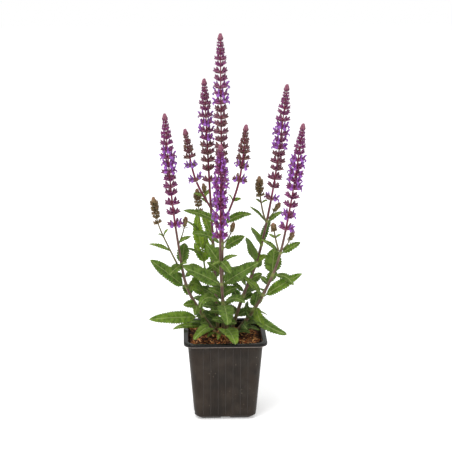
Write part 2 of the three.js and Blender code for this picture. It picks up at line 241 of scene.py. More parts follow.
def make_fuzz():
    """Very fine hairs, seen as a roughened surface: the height for a bump."""
    group, entry, leave = effect_group("fuzz", [("Size", "Float", 0.0003)], [("Height", "Float")])
    scale = calc(group, "DIVIDE", 1.0, entry["Size"])
    feed(group, noise(group, place_on(group), scale, 2.0), leave["Height"])
    return group


mottling = make_mottling()
dust = make_dust()
fuzz = make_fuzz()


def bump(tree, shader, height, distance, strength=1.0):
    inputs = {"Height": height, "Distance": distance, "Strength": strength}
    feed(tree, add(tree, "ShaderNodeBump", inputs).outputs[0], shader.inputs["Normal"])


# ---------------------------------------------------------------- materials


def make_leaf_material():
    """A wrinkled sage leaf: pale midrib, sunken side veins, a net of cells between, a paler underside,
    painted light and shade in its patches and its tone, and a painted highlight along its edge.
    The map "blade" holds the distance across from the midrib and along from the stalk, in centimetres."""
    made, tree, shader = material(
        "sage_leaf",
        roughness=0.6,
        sheen_weight=0.03,
        sheen_tint=(0.8, 0.95, 0.75, 1),
        specular_ior_level=0.2,
        subsurface_weight=0.12,
        subsurface_radius=(0.3, 0.6, 0.1),
        subsurface_scale=0.002,
    )
    blade = map_of(tree, "blade")
    sideways, along, _ = split(tree, blade)
    across = calc(tree, "ABSOLUTE", sideways)
    midrib = ramp(tree, across, 0.02, 0.062, 1.0, 0.0)
    lead = calc(tree, "SUBTRACT", along, times(tree, across, 0.75))
    to_vein = calc(tree, "PINGPONG", calc(tree, "DIVIDE", lead, attribute(tree, "vein_gap")), 0.5)
    side_vein = ramp(tree, to_vein, 0.02, 0.13, 1.0, 0.0)
    net = add(tree, "ShaderNodeTexVoronoi", {"Vector": blade, "Scale": 7.0}, feature="DISTANCE_TO_EDGE")
    net_vein = ramp(tree, net.outputs["Distance"], 0.0, 0.22, 1.0, 0.0)
    patches = use(tree, mottling, Size=0.0045, Detail=4.0)
    # A leaf's tone is its own green, set brighter on leaves that light shines through and darker on leaves in
    # shade: partly painted light.
    tone = attribute(tree, "tone")
    under = attribute(tree, "under")
    deep = colour_mix(tree, tone, (0.026, 0.056, 0.012), (0.13, 0.22, 0.01))
    lighter = colour_mix(tree, tone, (0.13, 0.22, 0.055), (0.34, 0.48, 0.035))
    # Patches of darker and lighter green: partly the leaf's own mottling, partly painted light and shade on
    # its quilted surface.
    body = colour_mix(tree, times(tree, patches, 0.85), deep, lighter)
    veined = colour_mix(tree, times(tree, net_vein, 0.22), body, (0.15, 0.24, 0.03))
    veined = colour_mix(tree, times(tree, side_vein, 0.5), veined, (0.22, 0.32, 0.08))
    veined = colour_mix(tree, times(tree, midrib, 0.62), veined, (0.42, 0.52, 0.17))
    pale = colour_mix(tree, times(tree, under, 0.6), veined, (0.17, 0.25, 0.06))
    # The leaf's edge is painted a lighter green: a painted highlight where light catches the edge.
    edge = times(tree, ramp(tree, attribute(tree, "rim"), 0.86, 1.0), 0.3)
    paint(tree, shader, colour_mix(tree, edge, pale, (0.2, 0.3, 0.08)))
    sunk = calc(tree, "MULTIPLY_ADD", side_vein, -0.5, times(tree, net_vein, -0.35))
    hairs = times(tree, use(tree, fuzz, Size=0.0004), 0.25)
    bump(tree, shader, plus(tree, sunk, hairs), 0.0011, 1.0)
    return made


def make_stem_material():
    """Square stem: olive at the foot, mauve-brown in the leaves, burgundy under the flowers, with pale
    hairy edges. The map "skin" runs once round the stem and along it."""
    made, tree, shader = material(
        "sage_stem",
        roughness=0.6,
        sheen_weight=0.08,
        sheen_tint=(0.85, 0.8, 0.75, 1),
        specular_ior_level=0.25,
    )
    height = split(tree, place_on(tree))[2]
    to_edge = calc(tree, "PINGPONG", times(tree, split(tree, map_of(tree, "skin"))[0], 4.0), 0.5)
    edge = ramp(tree, to_edge, 0.05, 0.22, 1.0, 0.0)
    patches = use(tree, mottling, Size=0.006, Detail=4.0)
    low = colour_mix(tree, patches, (0.13, 0.12, 0.03), (0.2, 0.12, 0.07))
    middle = colour_mix(tree, patches, (0.11, 0.045, 0.045), (0.2, 0.11, 0.095))
    high = colour_mix(tree, patches, (0.12, 0.018, 0.045), (0.17, 0.035, 0.06))
    hue = colour_mix(tree, ramp(tree, height, 0.095, 0.135), low, middle)
    hue = colour_mix(tree, ramp(tree, height, 0.175, 0.235), hue, high)
    hue = colour_mix(tree, ramp(tree, height, 0.23, 0.27), hue, (0.22, 0.028, 0.065))
    pale_edge = times(tree, edge, ramp(tree, height, 0.2, 0.25, 0.55, 0.12))
    hue = colour_mix(tree, pale_edge, hue, (0.27, 0.29, 0.15))
    fresh = times(tree, attribute(tree, "joint"), 0.8)
    hue = colour_mix(tree, fresh, hue, (0.27, 0.34, 0.08))
    paint(tree, shader, colour_mix(tree, attribute(tree, "green"), hue, (0.19, 0.27, 0.05)))
    hairs = times(tree, use(tree, fuzz, Size=0.0003), 0.6)
    bump(tree, shader, plus(tree, hairs, times(tree, edge, 0.4)), 0.0003, 0.7)
    return made


def make_petal_material(name, base, tip, faded, sheen):
    """A flower part whose colour runs from its base to its tip and fades with age, differently from one
    flower to the next. The map "part" runs round the part and along it."""
    made, tree, shader = material(name, roughness=0.6, sheen_weight=sheen)
    along = split(tree, map_of(tree, "part"))[1]
    patches = use(tree, mottling, Size=0.003, Detail=2.0)
    run = colour_mix(tree, ramp(tree, along, 0.1, 0.85), base, tip)
    varied = colour_mix(tree, attribute(tree, "tone"), run, faded)
    paint(tree, shader, colour_mix(tree, times(tree, patches, 0.25), varied, base))
    bump(tree, shader, use(tree, fuzz, Size=0.0004), 0.0002, 0.5)
    return made


def make_pot_material():
    """Thin black plastic: a satin wall with faint flow lines down it, dust, a pale trimmed edge under the
    rim, and ribs painted lighter along their length: a painted highlight."""
    made, tree, shader = material("pot_plastic", specular_ior_level=0.2)
    where = place_on(tree)
    height = split(tree, where)[2]
    stretched = add(tree, "ShaderNodeMapping", {"Vector": where, "Scale": (900, 900, 12)}).outputs[0]
    streaks = noise(tree, stretched, 1.0, 3.0)
    streak = ramp(tree, streaks, 0.35, 0.75)
    patches = use(tree, mottling, Size=0.02, Detail=5.0)
    black = colour_mix(tree, patches, (0.013, 0.009, 0.006), (0.026, 0.017, 0.011))
    black = colour_mix(tree, times(tree, streak, 0.2), black, (0.045, 0.035, 0.028))
    rim = ramp(tree, height, 0.0862, 0.0872)
    black = colour_mix(tree, times(tree, rim, 0.9), black, (0.003, 0.003, 0.003))
    dusty = use(tree, dust, Speck_Size=0.0022, Film=0.05, Specks=0.4)
    dusty = times(tree, dusty, ramp(tree, rim, 0.0, 1.0, 1.0, 0.3))
    black = colour_mix(tree, dusty, black, (0.33, 0.27, 0.21))
    low = ramp(tree, height, 0.0865, 0.0868)
    high = ramp(tree, height, 0.0871, 0.0874, 1.0, 0.0)
    trim = times(tree, times(tree, low, high), 0.9)
    # The ribs are painted a lighter grey: a painted highlight, standing for ribs of the same black plastic
    # catching the light.
    rib = times(tree, attribute(tree, "rib"), 0.8)
    black = colour_mix(tree, rib, black, (0.062, 0.052, 0.047))
    paint(tree, shader, colour_mix(tree, trim, black, (0.42, 0.35, 0.31)))
    rough = ramp(tree, patches, 0.0, 1.0, 0.38, 0.5)
    feed(tree, calc(tree, "SUBTRACT", rough, times(tree, rim, 0.24)), shader.inputs["Roughness"])
    fine = calc(tree, "MULTIPLY_ADD", streaks, 0.4, use(tree, fuzz, Size=0.0008))
    bump(tree, shader, fine, 0.00012, 0.5)
    return made


def make_earth_material(name, dark, middle, light, grain):
    """Bark, fibre or peat: colours in grains, with each loose bit a tone of its own."""
    made, tree, shader = material(name, roughness=0.92, specular_ior_level=0.2)
    coarse = use(tree, mottling, Size=grain, Detail=5.0)
    brown = colour_mix(tree, coarse, dark, middle)
    paint(tree, shader, colour_mix(tree, ramp(tree, attribute(tree, "tone"), 0.35, 1.0), brown, light))
    bump(tree, shader, use(tree, fuzz, Size=0.0005), 0.0005, 0.8)
    return made


leaf_green = make_leaf_material()
stem_skin = make_stem_material()
# Each flower part's colour at its base, at its tip and when faded, and its sheen.
calyx_skin, flower_violet, stalk_burgundy, bud_pink, young_bud = (
    make_petal_material("sage_" + part, *look)
    for part, *look in [
        ("calyx", (0.24, 0.045, 0.13), (0.38, 0.055, 0.33), (0.22, 0.125, 0.07), 0.08),
        ("corolla", (0.23, 0.036, 0.23), (0.31, 0.07, 0.46), (0.42, 0.17, 0.68), 0.1),
        ("stalk", (0.2, 0.02, 0.06), (0.36, 0.03, 0.12), (0.4, 0.06, 0.14), 0.05),
        ("bud", (0.14, 0.05, 0.055), (0.26, 0.07, 0.12), (0.42, 0.13, 0.22), 0.2),
        ("young_bud", (0.15, 0.15, 0.04), (0.24, 0.17, 0.07), (0.42, 0.2, 0.13), 0.1),
    ]
)
pot_plastic = make_pot_material()
# The dark, middle and light colours of each earthy finish, and the size of its grains.
mix_earth, bark_bits, crown_bark = (
    make_earth_material(*look)
    for look in [
        ("peat_and_bark", (0.014, 0.006, 0.004), (0.1, 0.034, 0.013), (0.19, 0.075, 0.03), 0.002),
        ("bark_and_coir", (0.13, 0.042, 0.012), (0.5, 0.16, 0.045), (0.9, 0.48, 0.19), 0.002),
        ("crown_bark", (0.06, 0.035, 0.015), (0.2, 0.14, 0.05), (0.28, 0.22, 0.1), 0.003),
    ]
)

# ---------------------------------------------------------------- mesh helpers


def smooth(keys, values, where):
    """Values between the keys, on a curve that passes through each key without a corner."""
    keys = np.asarray(keys, float)
    values = np.asarray(values, float)
    where = np.asarray(where, float)
    slope = np.gradient(values, keys, axis=0)
    i = np.clip(np.searchsorted(keys, where, side="right") - 1, 0, len(keys) - 2)
    span = keys[i + 1] - keys[i]
    t = (where - keys[i]) / span
    if values.ndim > 1:
        t, span = t[:, None], span[:, None]
    a, b = values[i], values[i + 1]
    return (
        (2 * t**3 - 3 * t**2 + 1) * a
        + (t**3 - 2 * t**2 + t) * span * slope[i]
        + (3 * t**2 - 2 * t**3) * b
        + (t**3 - t**2) * span * slope[i + 1]
    )


def unit(v):
    v = np.asarray(v, float)
    return v / np.maximum(np.linalg.norm(v, axis=-1, keepdims=True), 1e-12)


def quads_between(steps, count):
    """The faces between rings of points, each ring closed on itself."""
    faces = []
    for r in range(steps - 1):
        for i in range(count):
            j = (i + 1) % count
            faces.append((r * count + i, r * count + j, (r + 1) * count + j, (r + 1) * count + i))
    return faces


def map_grid(round_way, along):
    """Points on a map: round_way for each point of a ring, along for each ring."""
    return np.stack(np.broadcast_arrays(np.asarray(round_way)[None, :], np.asarray(along)[:, None]), -1)


def skin(name, rings, map_name=None, map_values=None, marks=(), finish=None):
    """A closed smooth mesh over rings of equally many points, capped at both ends. map_values is a point
    on the map for each ring's points and one more, where the ring closes; marks are values at the points."""
    rings = np.asarray(rings, float)
    steps, count = rings.shape[:2]
    faces = quads_between(steps, count)
    last = (steps - 1) * count
    faces.append(tuple(range(count - 1, -1, -1)))
    faces.append(tuple(range(last, last + count)))
    mesh = bpy.data.meshes.new(name)
    mesh.from_pydata(rings.reshape(-1, 3).tolist(), [], faces)
    if map_values is not None:
        values = np.asarray(map_values, float)
        corners = []
        for r in range(steps - 1):
            for i in range(count):
                corners += [values[r, i], values[r, i + 1], values[r + 1, i + 1], values[r + 1, i]]
        corners += [values[0, i] for i in range(count - 1, -1, -1)]
        corners += [values[-1, i] for i in range(count)]
        mesh.uv_layers.new(name=map_name).data.foreach_set("uv", np.asarray(corners).ravel())
    for label, amounts in dict(marks).items():
        spread = np.broadcast_to(np.asarray(amounts, float), (steps, count)).ravel()
        mesh.attributes.new(label, "FLOAT", "POINT").data.foreach_set("value", spread)
    mesh.shade_smooth()
    if finish:
        mesh.materials.append(finish)
    return in_scene(name, mesh)


def joined(name, pieces):
    """Several meshes made one."""
    first = pieces[0]
    if len(pieces) > 1:
        with bpy.context.temp_override(
            active_object=first, object=first, selected_objects=pieces, selected_editable_objects=pieces
        ):
            bpy.ops.object.join()
    first.name = first.data.name = name
    return first


def rings_of(node, count, start):
    """The rings of corners that a node is skinned over. start picks the first one from all the corners."""
    merged = bmesh.new()
    merged.from_mesh(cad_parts[node].data)
    bmesh.ops.remove_doubles(merged, verts=merged.verts, dist=0.02 * MM)
    merged.verts.index_update()
    layer = start(list(merged.verts), count)
    seen = set(layer)
    rings = []
    while layer:
        rings.append(np.array([v.co[:] for v in layer]))
        reached = {e.other_vert(v) for v in layer for e in v.link_edges} - seen
        seen |= reached
        layer = sorted(reached, key=lambda v: v.index)
    merged.free()
    return rings


def lowest(corners, count):
    return sorted(corners, key=lambda v: (v.co.z, v.index))[:count]


def leaf_base(corners, count):
    """The ring at a leaf's stalk end, which is wider than the one at its tip."""
    co = np.array([v.co[:] for v in corners])
    main = np.linalg.svd(co - co.mean(0))[2][0]
    order = np.argsort(co @ main)
    ends = []
    for far in (order[0], order[-1]):
        near = np.argsort(np.linalg.norm(co - co[far], axis=1))[:count]
        ends.append((max(np.linalg.norm(co[near] - co[far], axis=1)), near))
    widest = max(ends, key=lambda end: end[0])[1]
    return [corners[i] for i in sorted(widest)]


# ---------------------------------------------------------------- stems


class Path:
    """A centre line with a radius along it."""

    def __init__(self, centres, radii):
        self.centres = np.array(centres)
        self.radii = np.array(radii)
        steps = np.linalg.norm(np.diff(self.centres, axis=0), axis=1)
        self.keys = np.concatenate([[0], np.cumsum(steps)])
        self.length = self.keys[-1]

    def at(self, along):
        return smooth(self.keys, self.centres, np.atleast_1d(along))

    def way(self, along):
        step = 0.0004
        along = np.clip(np.atleast_1d(along), 0, self.length)
        return unit(self.at(np.minimum(along + step, self.length)) - self.at(np.maximum(along - step, 0)))

    def radius(self, along):
        return np.interp(along, self.keys, self.radii)

    def nearest(self, point):
        """How far along the path a point is, and how far from it."""
        tries = np.linspace(0, self.length, 400)
        gaps = np.linalg.norm(self.at(tries) - np.asarray(point), axis=1)
        return tries[gaps.argmin()], gaps.min()


def path_of(rings):
    """The path through the middles of a node's rings."""
    centres = [r.mean(0) for r in rings]
    return Path(centres, [np.linalg.norm(r - c, axis=1).mean() for r, c in zip(rings, centres)])


def sides_of(way):
    """Two directions square to each way: the first towards +X, the second towards the back."""
    across = unit(np.cross(np.array([0.0, 1.0, 0.0]), way))
    return across, np.cross(way, across)


def tube_rings(path, along, radius, around, squareness):
    """The rings of a round or squarish rod along a path, of its own radius at each station."""
    centres, way = path.at(along), path.way(along)
    across, behind = sides_of(way)
    turn = np.linspace(0, 2 * math.pi, around, endpoint=False)
    shape = 1 + squareness * np.cos(4 * (turn - math.pi / 4))
    return centres[:, None] + (radius[:, None] * shape)[..., None] * (
        np.cos(turn)[None, :, None] * across[:, None] + np.sin(turn)[None, :, None] * behind[:, None]
    )


def make_stem(name, path, joints):
    """A square stem with rounded edges, swollen where leaves join it, and a little stouter with its hairs."""
    around, spacing, stoutness, squareness = 16, 0.0016, 1.13, 0.09
    joint_length, joint_swelling = 0.0018, 0.3
    along = np.linspace(0, path.length, max(6, int(path.length / spacing)))
    swell = np.zeros(len(along))
    for joint in joints:
        swell = np.maximum(swell, np.exp(-(((along - joint) / joint_length) ** 2)))
    radius = path.radius(along) * stoutness * (1 + joint_swelling * swell)
    rings = tube_rings(path, along, radius, around, squareness)
    eighth_turn = 0.125
    values = map_grid(np.linspace(0, 1, around + 1) + eighth_turn, along * CM)
    marks = {"joint": swell[:, None], "green": 0.0}
    return skin(name, rings, "skin", values, marks, stem_skin)


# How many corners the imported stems, spikes and leaves have round them.
STEM_CORNERS, SPIKE_CORNERS, LEAF_CORNERS = 8, 6, 4

stem_nodes = [n for n in sorted(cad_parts) if n.startswith(("stem_", "branch_"))]
paths = {n: path_of(rings_of(n, STEM_CORNERS, lowest)) for n in stem_nodes}

# ---------------------------------------------------------------- leaves


TOOTH_PITCH, TOOTH_DEPTH, VEIN_GAP = 0.0028, 0.42, 0.0034
LEAF_THICKNESS, MIDRIB_THICKNESS, MIDRIB_WIDTH = 0.00022, 0.0005, 0.0009
STALK_HALF, LEAST_HALF, TIP_HALF = 0.0012, 0.0004, 0.00025  # half widths of a leaf at its ends
PUFF, RIPPLE = 0.11, 0.11  # how high the quilting and the waves of the edge are, as shares of a half width


def leaf_shape(name, keys, centres, sides, faces, halves, tone, seed, blunt=0.3):
    """A toothed, quilted leaf over its stations: v runs from the stalk to the tip, u from edge to edge. It is
    thickest along its midrib, which stands out below. Blunt is 0 for a pointed tip, 1 for a round one."""
    rng = random.Random(seed)
    length = np.linalg.norm(np.diff(centres, axis=0), axis=1).sum()
    widest = max(halves)
    teeth = max(6, int(length / TOOTH_PITCH))
    rows, columns = teeth * 4 + 1, 12
    v = np.linspace(0, 1, rows)
    centre, half = smooth(keys, centres, v), np.maximum(smooth(keys, halves, v), LEAST_HALF)
    last = keys[-2]
    past = np.clip((v - last) / (1 - last), 0, 1)
    pointed, rounded = (1 - past) ** 0.9, np.sqrt(1 - past**2.2)
    tip = np.interp(last, v, half) * (pointed + (rounded - pointed) * blunt)
    half = np.where(v > last, np.maximum(tip, TIP_HALF), half)
    side, face = unit(smooth(keys, sides, v)), unit(smooth(keys, faces, v))
    u = np.linspace(-1, 1, columns + 1)
    rim = np.abs(u)
    gap = max(VEIN_GAP, length / 10)
    stretch = v[:, None] * length - rim[None, :] * half[:, None] * 0.75
    pillow = np.abs(np.sin(math.pi * stretch / gap)) ** 0.7
    blade = np.clip((half[:, None] - STALK_HALF) / max(widest - STALK_HALF, 0.0001), 0, 1)
    puff = PUFF * widest * pillow * blade * np.sin(math.pi * np.clip(rim, 0, 1))[None, :] ** 0.7
    left, right, *_ = (rng.uniform(0, 2 * math.pi) for _ in range(4))
    wave = np.where(u < 0, np.sin(v[:, None] * 9 + left), np.sin(v[:, None] * 10 + right))
    ripple = RIPPLE * half[:, None] * rim[None, :] ** 2 * wave
    cup = half[:, None] * (0.22 * rim[None, :] ** 1.3 - 0.1 * rim[None, :] ** 4)
    height = cup + puff + ripple
    tooth = np.abs(np.sin(math.pi * teeth * v)) ** 0.75
    notch = TOOTH_DEPTH * np.minimum(half, 0.004) * blade.max(1) * (1 - tooth)
    jag = np.array([rng.uniform(0.6, 1.2) for _ in range(rows)])
    reach = u[None, :] * half[:, None] - np.sign(u)[None, :] * (rim[None, :] ** 6) * (notch * jag)[:, None]
    top = centre[:, None] + reach[..., None] * side[:, None] + height[..., None] * face[:, None]
    midrib = MIDRIB_THICKNESS * np.exp(-((reach / MIDRIB_WIDTH) ** 2))
    thick = LEAF_THICKNESS + midrib * (0.35 + 0.65 * (1 - v[:, None]))
    thick = thick * np.clip(2 - 2 * rim[None, :], 0.25, 1)
    low = top - thick[..., None] * face[:, None]
    rings = np.concatenate([top, low[:, -2:0:-1]], axis=1)
    flat = np.concatenate([reach, reach[:, -2:0:-1]], axis=1)
    run = np.broadcast_to(v[:, None] * length, flat.shape)
    values = np.stack([flat, run], -1) * CM
    values = np.concatenate([values, values[:, :1]], axis=1)
    below = np.concatenate([np.zeros(columns + 1), np.ones(columns - 1)])
    below[[0, columns]] = 0.3
    rims = np.concatenate([rim, rim[-2:0:-1]])
    marks = {"under": below[None, :], "tone": tone, "rim": rims[None, :], "vein_gap": gap * CM}
    return skin(name, rings, "blade", values, marks, leaf_green)


def leaf_stations(node):
    """A leaf node's stations: how far along, centre of the midrib, way across, way up, half width."""
    centres, sides, faces, halves = [], [], [], []
    for ring in rings_of(node, LEAF_CORNERS, leaf_base):
        gaps = np.linalg.norm(ring[:, None] - ring[None], axis=-1)
        a, b = np.unravel_index(gaps.argmax(), gaps.shape)
        middle = np.delete(ring, [a, b], axis=0).mean(0)
        across = ring[a] - ring[b]
        lift = ring[[a, b]].mean(0) - middle
        centres.append(middle)
        sides.append(unit(across))
        faces.append(unit(lift))
        halves.append(np.linalg.norm(across) / 2)
    centres = np.array(centres)
    keys = np.concatenate([[0], np.cumsum(np.linalg.norm(np.diff(centres, axis=0), axis=1))])
    keys /= keys[-1]
    ways = unit(np.gradient(centres, keys, axis=0))
    faces = unit(np.array(faces) - (np.array(faces) * ways).sum(1)[:, None] * ways)
    sides = np.cross(ways, faces)
    return keys, centres, sides, faces, np.array(halves)


# A leaf that starts nearer to a stem than this swells it, and a leaf's stalk goes this far into its stem.
JOINT_REACH, STALK_ROOT = 4 * MM, 1.4 * MM

leaf_nodes = [n for n in sorted(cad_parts) if n.startswith("leaf_")]
stations = {n: leaf_stations(n) for n in leaf_nodes}
joints = {n: [] for n in paths}
for node in leaf_nodes:
    base = stations[node][1][0]
    spots = {n: path.nearest(base) for n, path in paths.items()}
    closest = min(spots, key=lambda n: spots[n][1])
    if spots[closest][1] < JOINT_REACH:
        joints[closest].append(spots[closest][0])

# From dark and dull (0) to bright yellow-green (1), where it isn't left to chance. Besides each leaf's own
# green, this is painted light: brighter on leaves that light shines through, darker on leaves in shade.
LEAF_TONES_AND_LIGHT = {
    "leaf_rear_3": 1.0,
    "leaf_right_3": 0.95,
    "leaf_right_2": 0.5,
    "leaf_front_1": 0.3,
    "leaf_basal_1": 0.55,
    "leaf_basal_2": 0.6,
    "leaf_left_1": 0.55,
    "leaf_left_2": 0.3,
    "leaf_front_4": 0.3,
    "leaf_front_5": 0.25,
    "leaf_far_right_3": 0.55,
    "leaf_tall_5": 0.35,
    "leaf_tall_6": 0.45,
}
BLUNT_LEAVES = ("leaf_basal_1", "leaf_basal_2", "leaf_front_1", "leaf_far_right_1")
for number, node in enumerate(leaf_nodes):
    keys, centres, sides, faces, halves = stations[node]
    inward = centres[0] - unit(centres[1] - centres[0]) * STALK_ROOT
    keys = np.concatenate([[0], keys * 0.97 + 0.03])
    centres = np.concatenate([[inward], centres])
    sides, faces = np.concatenate([sides[:1], sides]), np.concatenate([faces[:1], faces])
    halves = np.concatenate([halves[:1], halves])
    tone = LEAF_TONES_AND_LIGHT.get(node, random.Random(number).uniform(0.15, 0.65))
    blunt = 0.8 if node in BLUNT_LEAVES else 0.25
    piece = leaf_shape("sage_" + node, keys, centres, sides, faces, halves, tone, number, blunt)
    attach(piece, "root")
    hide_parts(node)

for node in stem_nodes:
    piece = make_stem("sage_" + node, paths[node], joints[node])
    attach(piece, "root")
    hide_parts(node)

# ---------------------------------------------------------------- growing with geometry nodes


def geometry_tree(name, inputs):
    """A modifier tree with a mesh and named inputs coming in."""
    tree = bpy.data.node_groups.new(name, "GeometryNodeTree")
    tree.interface.new_socket("Geometry", in_out="INPUT", socket_type="NodeSocketGeometry")
    for label, kind in inputs.items():
        tree.interface.new_socket(label, in_out="INPUT", socket_type="NodeSocket" + kind)
    tree.interface.new_socket("Geometry", in_out="OUTPUT", socket_type="NodeSocketGeometry")
    return tree, tree.nodes.new("NodeGroupInput").outputs


def end_tree(tree, geometry, finish):
    whole = add(tree, "GeometryNodeRealizeInstances", {0: geometry}).outputs[0]
    coated = add(tree, "GeometryNodeSetMaterial", {"Geometry": whole, "Material": finish}).outputs[0]
    tree.links.new(coated, tree.nodes.new("NodeGroupOutput").inputs[0])


def vector_calc(tree, operation, a, b=(0, 0, 0), output=0):
    return add(tree, "ShaderNodeVectorMath", {0: a, 1: b}, operation=operation).outputs[output]


def scaled(tree, vector, factor):
    inputs = {"Vector": vector, "Scale": factor}
    return add(tree, "ShaderNodeVectorMath", inputs, operation="SCALE").outputs[0]


def mark(tree, name, kind="FLOAT"):
    named = add(tree, "GeometryNodeInputNamedAttribute", {"Name": name}, data_type=kind)
    return named.outputs["Attribute"]


def chance(tree, low, high, seed):
    """A different value for each point, between low and high."""
    return add(tree, "FunctionNodeRandomValue", {2: low, 3: high, 8: seed}).outputs[1]


def toned(tree, shapes, tone):
    """Gives each instance its own tone for the material to read."""
    inputs = {"Geometry": shapes, "Name": "tone", "Value": tone}
    marked = add(tree, "GeometryNodeStoreNamedAttribute", inputs, data_type="FLOAT", domain="INSTANCE")
    return marked.outputs[0]


def grown(name, mesh, tree, inputs):
    """The plain mesh that a tree grows from a starting mesh."""
    made = in_scene(name, mesh)
    modifier = made.modifiers.new(name, "NODES")
    modifier.node_group = tree
    for item in tree.interface.items_tree:
        if item.in_out == "INPUT" and item.name in inputs:
            modifier[item.identifier] = inputs[item.name]
    made.update_tag()
    evaluated = made.evaluated_get(bpy.context.evaluated_depsgraph_get())
    result = bpy.data.meshes.new_from_object(evaluated)
    made.modifiers.clear()
    made.data = result
    result.name = name
    return made


def points_mesh(name, places, vectors=(), numbers=()):
    """Loose points that carry values."""
    mesh = bpy.data.meshes.new(name)
    mesh.from_pydata(np.asarray(places).tolist(), [], [])
    for key, values in dict(vectors).items():
        flat = np.asarray(values, float).ravel()
        mesh.attributes.new(key, "FLOAT_VECTOR", "POINT").data.foreach_set("vector", flat)
    for key, values in dict(numbers).items():
        spread = np.broadcast_to(np.asarray(values, float), len(places))
        mesh.attributes.new(key, "FLOAT", "POINT").data.foreach_set("value", spread)
    return mesh


def make_whorls_tree():
    """Round each point of a spike, two facing clusters of one shape, leaning out and up from the axis."""
    inputs = {"Shape": "Object", "Finish": "Material", "Count": "Int", "Seat": "Float", "Rise": "Float"}
    inputs.update({"Rise Spread": "Float", "Fan": "Float", "Seed": "Int"})
    tree, entry = geometry_tree("whorls", inputs)

    def differing(low, high, step):
        return chance(tree, low, high, plus(tree, entry["Seed"], step))

    def leaning(angle, level, upright):
        """The way between two others that lie square to each other."""
        flat = scaled(tree, level, calc(tree, "COSINE", angle))
        return vector_calc(tree, "ADD", flat, scaled(tree, upright, calc(tree, "SINE", angle)))

    inputs = {"Geometry": entry["Geometry"], "Amount": entry["Count"]}
    copies = add(tree, "GeometryNodeDuplicateElements", inputs, domain="POINT")
    number = copies.outputs["Duplicate Index"]
    half = times(tree, entry["Count"], 0.5)
    cluster = calc(tree, "FLOOR", calc(tree, "DIVIDE", plus(tree, number, 0.01), half))
    within = calc(tree, "SUBTRACT", number, times(tree, cluster, half))
    centred = calc(tree, "SUBTRACT", within, times(tree, calc(tree, "SUBTRACT", half, 1.0), 0.5))
    fan = calc(tree, "MULTIPLY_ADD", centred, entry["Fan"], differing(-0.1, 0.1, 0.0))
    angle = calc(tree, "MULTIPLY_ADD", cluster, math.pi, plus(tree, fan, mark(tree, "spin")))
    axis = mark(tree, "axis", "FLOAT_VECTOR")
    across = vector_calc(tree, "NORMALIZE", vector_calc(tree, "CROSS_PRODUCT", axis, (0, 1, 0)))
    out = leaning(angle, across, vector_calc(tree, "CROSS_PRODUCT", axis, across))
    reach = mark(tree, "reach")
    seat = times(tree, entry["Seat"], reach)
    climb = times(tree, reach, differing(-0.0004, 0.0006, 1.0))
    shift = vector_calc(tree, "ADD", scaled(tree, out, seat), scaled(tree, axis, climb))
    placed = add(tree, "GeometryNodeSetPosition", {"Geometry": copies.outputs[0], "Offset": shift}).outputs[0]
    lean = calc(tree, "MULTIPLY_ADD", calc(tree, "ABSOLUTE", centred), entry["Rise Spread"], entry["Rise"])
    lean = plus(tree, lean, differing(-0.13, 0.13, 2.0))
    first = add(tree, "FunctionNodeAlignRotationToVector", {"Vector": leaning(lean, out, axis)}, axis="Z")
    inputs = {"Rotation": first.outputs[0], "Vector": axis}
    turned = add(tree, "FunctionNodeAlignRotationToVector", inputs, axis="Y", pivot_axis="Z").outputs[0]
    size = times(tree, reach, differing(0.92, 1.1, 3.0))
    filled = calc(tree, "LESS_THAN", differing(0.0, 1.0, 4.0), mark(tree, "share"))
    shape = add(tree, "GeometryNodeObjectInfo", {"Object": entry["Shape"]}).outputs["Geometry"]
    inputs = {"Points": placed, "Selection": filled, "Instance": shape, "Rotation": turned, "Scale": size}
    shapes = add(tree, "GeometryNodeInstanceOnPoints", inputs).outputs[0]
    shade = calc(tree, "MULTIPLY_ADD", differing(0.0, 1.0, 5.0), 0.3, times(tree, mark(tree, "age"), 0.7))
    end_tree(tree, toned(tree, shapes, shade), entry["Finish"])
    return tree


# ---------------------------------------------------------------- flower parts


def loft(name, sections, sides, start=0.0, end=1.0):
    """A closed shape over oval sections, each its middle (x, y, z) and two half widths, in millimetres.
    The map runs round it and along it from start to end."""
    turn = np.linspace(0, 2 * math.pi, sides, endpoint=False)
    rings = []
    for x, y, z, wide, deep in sections:
        rings.append(np.stack([x + wide * np.cos(turn), y + deep * np.sin(turn), np.full(sides, z)], 1))
    values = map_grid(np.linspace(0, 1, sides + 1), np.linspace(start, end, len(sections)))
    return skin(name, np.array(rings) * MM, "part", values)


def bent_loft(name, stations, start, end):
    """A thin closed petal over stations: its middle (x, y, z), half width, thickness and cupping, in
    millimetres. It bends in the plane of y and z."""
    stations = np.array(stations, float)
    middle = stations[:, :3]
    way = unit(np.gradient(middle, axis=0))
    side = np.array([1.0, 0.0, 0.0])
    up = np.cross(side[None, :], way) * -1
    rings = []
    for (x, y, z, wide, thick, cup), lift in zip(stations, up):
        centre = np.array([x, y, z])
        edges = centre + side * wide + lift * cup, centre - side * wide + lift * cup
        rings.append([edges[0], centre + lift * thick, edges[1], centre - lift * thick])
    values = map_grid(np.linspace(0, 1, 5), np.linspace(start, end, len(stations)))
    return skin(name, np.array(rings) * MM, "part", values)


def outward(piece):
    """Turns a closed piece's faces to look outwards."""
    shell = bmesh.new()
    shell.from_mesh(piece.data)
    bmesh.ops.recalc_face_normals(shell, faces=shell.faces)
    shell.to_mesh(piece.data)
    shell.free()
    return piece


def make_calyx():
    """A two-lipped bell with an open mouth, its edge drawn out into points."""
    outside = [(0, 0.35, 0.35), (1.1, 0.85, 0.85), (3.0, 1.2, 1.25), (4.6, 1.3, 1.4), (5.8, 1.45, 1.6)]
    inside = [(4.6, 1.0, 1.1), (2.6, 0.4, 0.4)]
    mouth, points = len(outside) - 1, [-0.7, 1.2, 1.2, -0.7, 0.7, 0.7]
    bell = loft("calyx", [(0, 0, *section) for section in outside + inside], len(points))
    for i, point in enumerate(points):
        bell.data.vertices[mouth * len(points) + i].co.z += point * MM
    return outward(bell)


